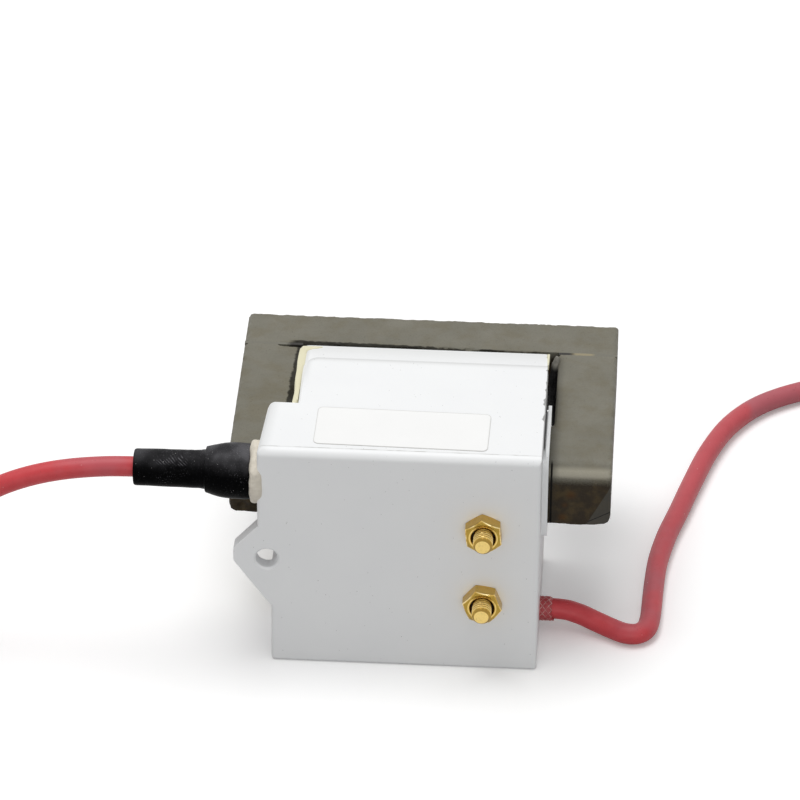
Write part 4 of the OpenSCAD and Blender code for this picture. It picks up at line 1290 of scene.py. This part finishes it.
# %% [markdown]
# ## Red silicone and the braided sleeve
# The leads' silicone is a dull red that picks up pale dust. At its exit the return lead wears the
# frayed end of a glass braid: two sets of threads wind round a short tube, one each way.

# %% Lead finish
silicone = Finish("red_silicone")
x, y, z = silicone.axes()
haze = silicone.grain(0.07, 3)
blotch = silicone.grain(0.4, 4, 0.6)
matt = silicone.grain(5, 2)
red = silicone.mix(blotch, srgb("#bb2d34"), srgb("#d2484e"))
clean = silicone.step(x, 24, 26) * (1 - silicone.step(x + haze * 5, 43, 48))
far_end = silicone.step(y + haze * 12, -2, 14) * silicone.step(x, 20, 30)
dusty = silicone.step(haze, 0.46, 0.64) * 0.4 + far_end * 0.3
red = silicone.mix(dusty * (1 - clean * 0.9), red, srgb("#a5606a"))
red = silicone.mix(silicone.step(silicone.grain(1.6, 3), 0.62, 0.76) * 0.35, red, srgb("#7d2a30"))
lint = silicone.dots(0.7) * silicone.step(silicone.grain(0.3), 0.52, 0.6)
red = silicone.mix(lint * 0.6, red, srgb("#d9b9b6"))
red_silicone = silicone.done(
    Base_Color=red, Roughness=0.34 + matt * 0.14 + haze * 0.16, Specular_IOR_Level=0.45,
    Normal=silicone.bump(matt + blotch, 0.03, 0.4))
for piece in (hv_lead, return_lead):
    piece.data.materials.append(red_silicone)


# %% Braided sleeve
rings = [(0.2 + 0.15 * k, 2.52) for k in range(15)]
outline = [(0, 2.15), (0, 2.5)] + rings + [(2.5, 2.5), (2.6, 2.35), (2.6, 2.15), (0, 2.15)]
sleeve = turned("braid_sleeve", outline, RETURN_EXIT, (1, 0, 0), steps=72)


def braid(p, n):
    along = p.x - RETURN_EXIT.x
    across = Vector((0, p.y - RETURN_EXIT.y, p.z - RETURN_EXIT.z))
    if across.length > 2.3:
        angle = math.atan2(across.z, across.y)
        weave = math.sin(angle * 10 + along * 5) * math.sin(angle * 10 - along * 5)
        p = p + across.normalized() * 0.07 * weave
        if along > 1.4:
            p.x -= 0.5 * math.sin(angle) + 0.5 * noise.noise(Vector((angle * 3, 0, 0)))
    return p


reshape(sleeve, braid)
smooth(sleeve, 50)
glass = Finish("glass_braid")
x, y, z = glass.axes()
angle = glass.add("Math", {"operation": "ARCTAN2"}, {0: z - RETURN_EXIT.z, 1: y - RETURN_EXIT.y})
strand_a = (angle * 10 + (x - RIGHT) * 5).wave()
strand_b = (angle * 10 - (x - RIGHT) * 5).wave()
worn = glass.step(glass.grain(0.9, 2), 0.38, 0.6)
thread = glass.step(strand_a.most(strand_b), 0.82, 0.98) * (0.2 + worn * 0.8)
fit_in(sleeve, "sleeve", glass.done(
    Base_Color=glass.mix(thread * 0.5, srgb("#b04246"), srgb("#ecd6d0")), Roughness=0.5,
    Normal=glass.bump(thread, 0.06, 0.6)), "return_sleeve")

# %% [markdown]
# ## The tie on the coil
# A nylon cable tie holds the turns of the stored lead. Its band is one round-cornered outline cut out
# of another, its head is a block with a slot on the band's top, and the cut tail stands out of the slot.
# The band goes round all four runs, just before the lead's end.

# %% Coil tie
TIE_W, TIE_T = 3.6, 0.8
RUN_X = COIL_X - COIL_R
RUN_HALF, RUN_TOP = HV_D, 2 * HV_D + LAYER_PLAY
TIE_FRONT, TIE_BACK = COIL_Y - TIE_W / 2, COIL_Y + TIE_W / 2


def band_loop(half, low, high, r):
    near, far = RUN_X - half, RUN_X + half
    return rounded([(near, low, r), (far, low, r), (far, high, r), (near, high, r)])


tie = prism("coil_tie", band_loop(RUN_HALF + TIE_T, 0.02, RUN_TOP + TIE_T, 2.6), "Y", TIE_FRONT, TIE_BACK)
window = band_loop(RUN_HALF - 0.05, 0.4, RUN_TOP, 2.0)
carve(tie, prism("tie_window", window, "Y", TIE_FRONT - 1, TIE_BACK + 1))
head = box(
    "tie_head", (RUN_X - 2.4, TIE_FRONT - 0.6, RUN_TOP + 0.3),
    (RUN_X + 2.0, TIE_BACK + 0.6, RUN_TOP + 3.9))
carve(head, box(
    "tie_slot", (RUN_X - 3, TIE_FRONT + 0.2, RUN_TOP + 1.5),
    (RUN_X + 3, TIE_BACK - 0.2, RUN_TOP + 2.7)))
carve(tie, head, "UNION")
tail = prism("tie_tail", [
    (RUN_X + 2.3, RUN_TOP + 1.6), (RUN_X + 2.3, RUN_TOP + 2.5), (RUN_X - 2.4, RUN_TOP + 2.5),
    (RUN_X - 6.3, RUN_TOP + 3.2), (RUN_X - 6.6, RUN_TOP + 2.3), (RUN_X - 2.4, RUN_TOP + 1.6)],
    "Y", TIE_FRONT + 0.1, TIE_BACK - 0.1)
carve(tie, tail, "UNION")
soften(tie, 0.15, 40)
smooth(tie, 30, flat=True)
natural = Finish("natural_nylon")
flow = natural.grain(0.3, 3)
natural_nylon = natural.done(
    Base_Color=natural.mix(flow, srgb("#d8d5c8"), srgb("#e8e6dc")), Roughness=0.4 + flow * 0.2,
    Normal=natural.bump(natural.grain(3, 2), 0.02, 0.4))
fit_in(tie, "bobbin", natural_nylon)

# %% [markdown]
# ## The leads on the body
# Both leads ride on the body in place of the CAD's leads, which are hidden. Both ends are bare.

for piece, stands_for in ((hv_lead, ("hv_lead", "hv_lead_coil")), (return_lead, ("return_lead",))):
    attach(piece, "root")
    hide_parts(*stands_for)
print("two leads declared,", round(hv_length, 3), "and", round(return_length, 3), "m")

# %% [markdown]
# ## Floor and studio light
# The object stands on a pale floor under one large softbox, with a low wide lamp in front, as in a
# plain product picture. What the camera, a mirror or a glass sees of floor and world is white. What
# lights the object is a quieter grey, so that pale plastic keeps its shading.

# %% Stage and light
FLOOR_SIZE, FLOOR_GREY, FLOOR_GLOW, SKY = 6.0, 0.42, 0.14, 0.4
alone()
bpy.ops.mesh.primitive_plane_add(size=FLOOR_SIZE, location=(0, 0, 0))
floor = named("floor")
floor_paint = Finish("floor_paint")
seen = floor_paint.seen()
floor.data.materials.append(floor_paint.done(
    Base_Color=floor_paint.mix(seen, (FLOOR_GREY, FLOOR_GREY, FLOOR_GREY, 1), (1, 1, 1, 1)),
    Roughness=1.0, Specular_IOR_Level=0.0,
    Emission_Color=floor_paint.mix(seen, (0, 0, 0, 1), (1, 1, 1, 1)), Emission_Strength=FLOOR_GLOW))
world = bpy.data.worlds.new("studio")
bpy.context.scene.world = world
world.use_nodes = True
studio = Graph(world.node_tree)
sky = world.node_tree.nodes["Background"].inputs
studio.feed(sky["Color"], (1, 1, 1, 1))
studio.feed(sky["Strength"], SKY + studio.seen() * (1 - SKY))


def softbox(name, place, wide, high, power):
    """A lamp that faces the case."""
    bpy.ops.object.select_all(action="DESELECT")
    bpy.ops.object.light_add(type="AREA", location=place)
    lamp = bpy.context.object
    lamp.name = name
    lamp.data.shape, lamp.data.size, lamp.data.size_y, lamp.data.energy = "RECTANGLE", wide, high, power
    lamp.rotation_euler = (Vector((0, 0.01, 0.03)) - Vector(place)).to_track_quat("-Z", "Y").to_euler()


softbox("key_above", (-0.16, 0.16, 1.2), 0.9, 0.8, 9.4)
softbox("fill_front", (0.1, -1.15, 0.34), 0.9, 0.22, 2.5)
bpy.context.scene.view_settings.view_transform = "Standard"
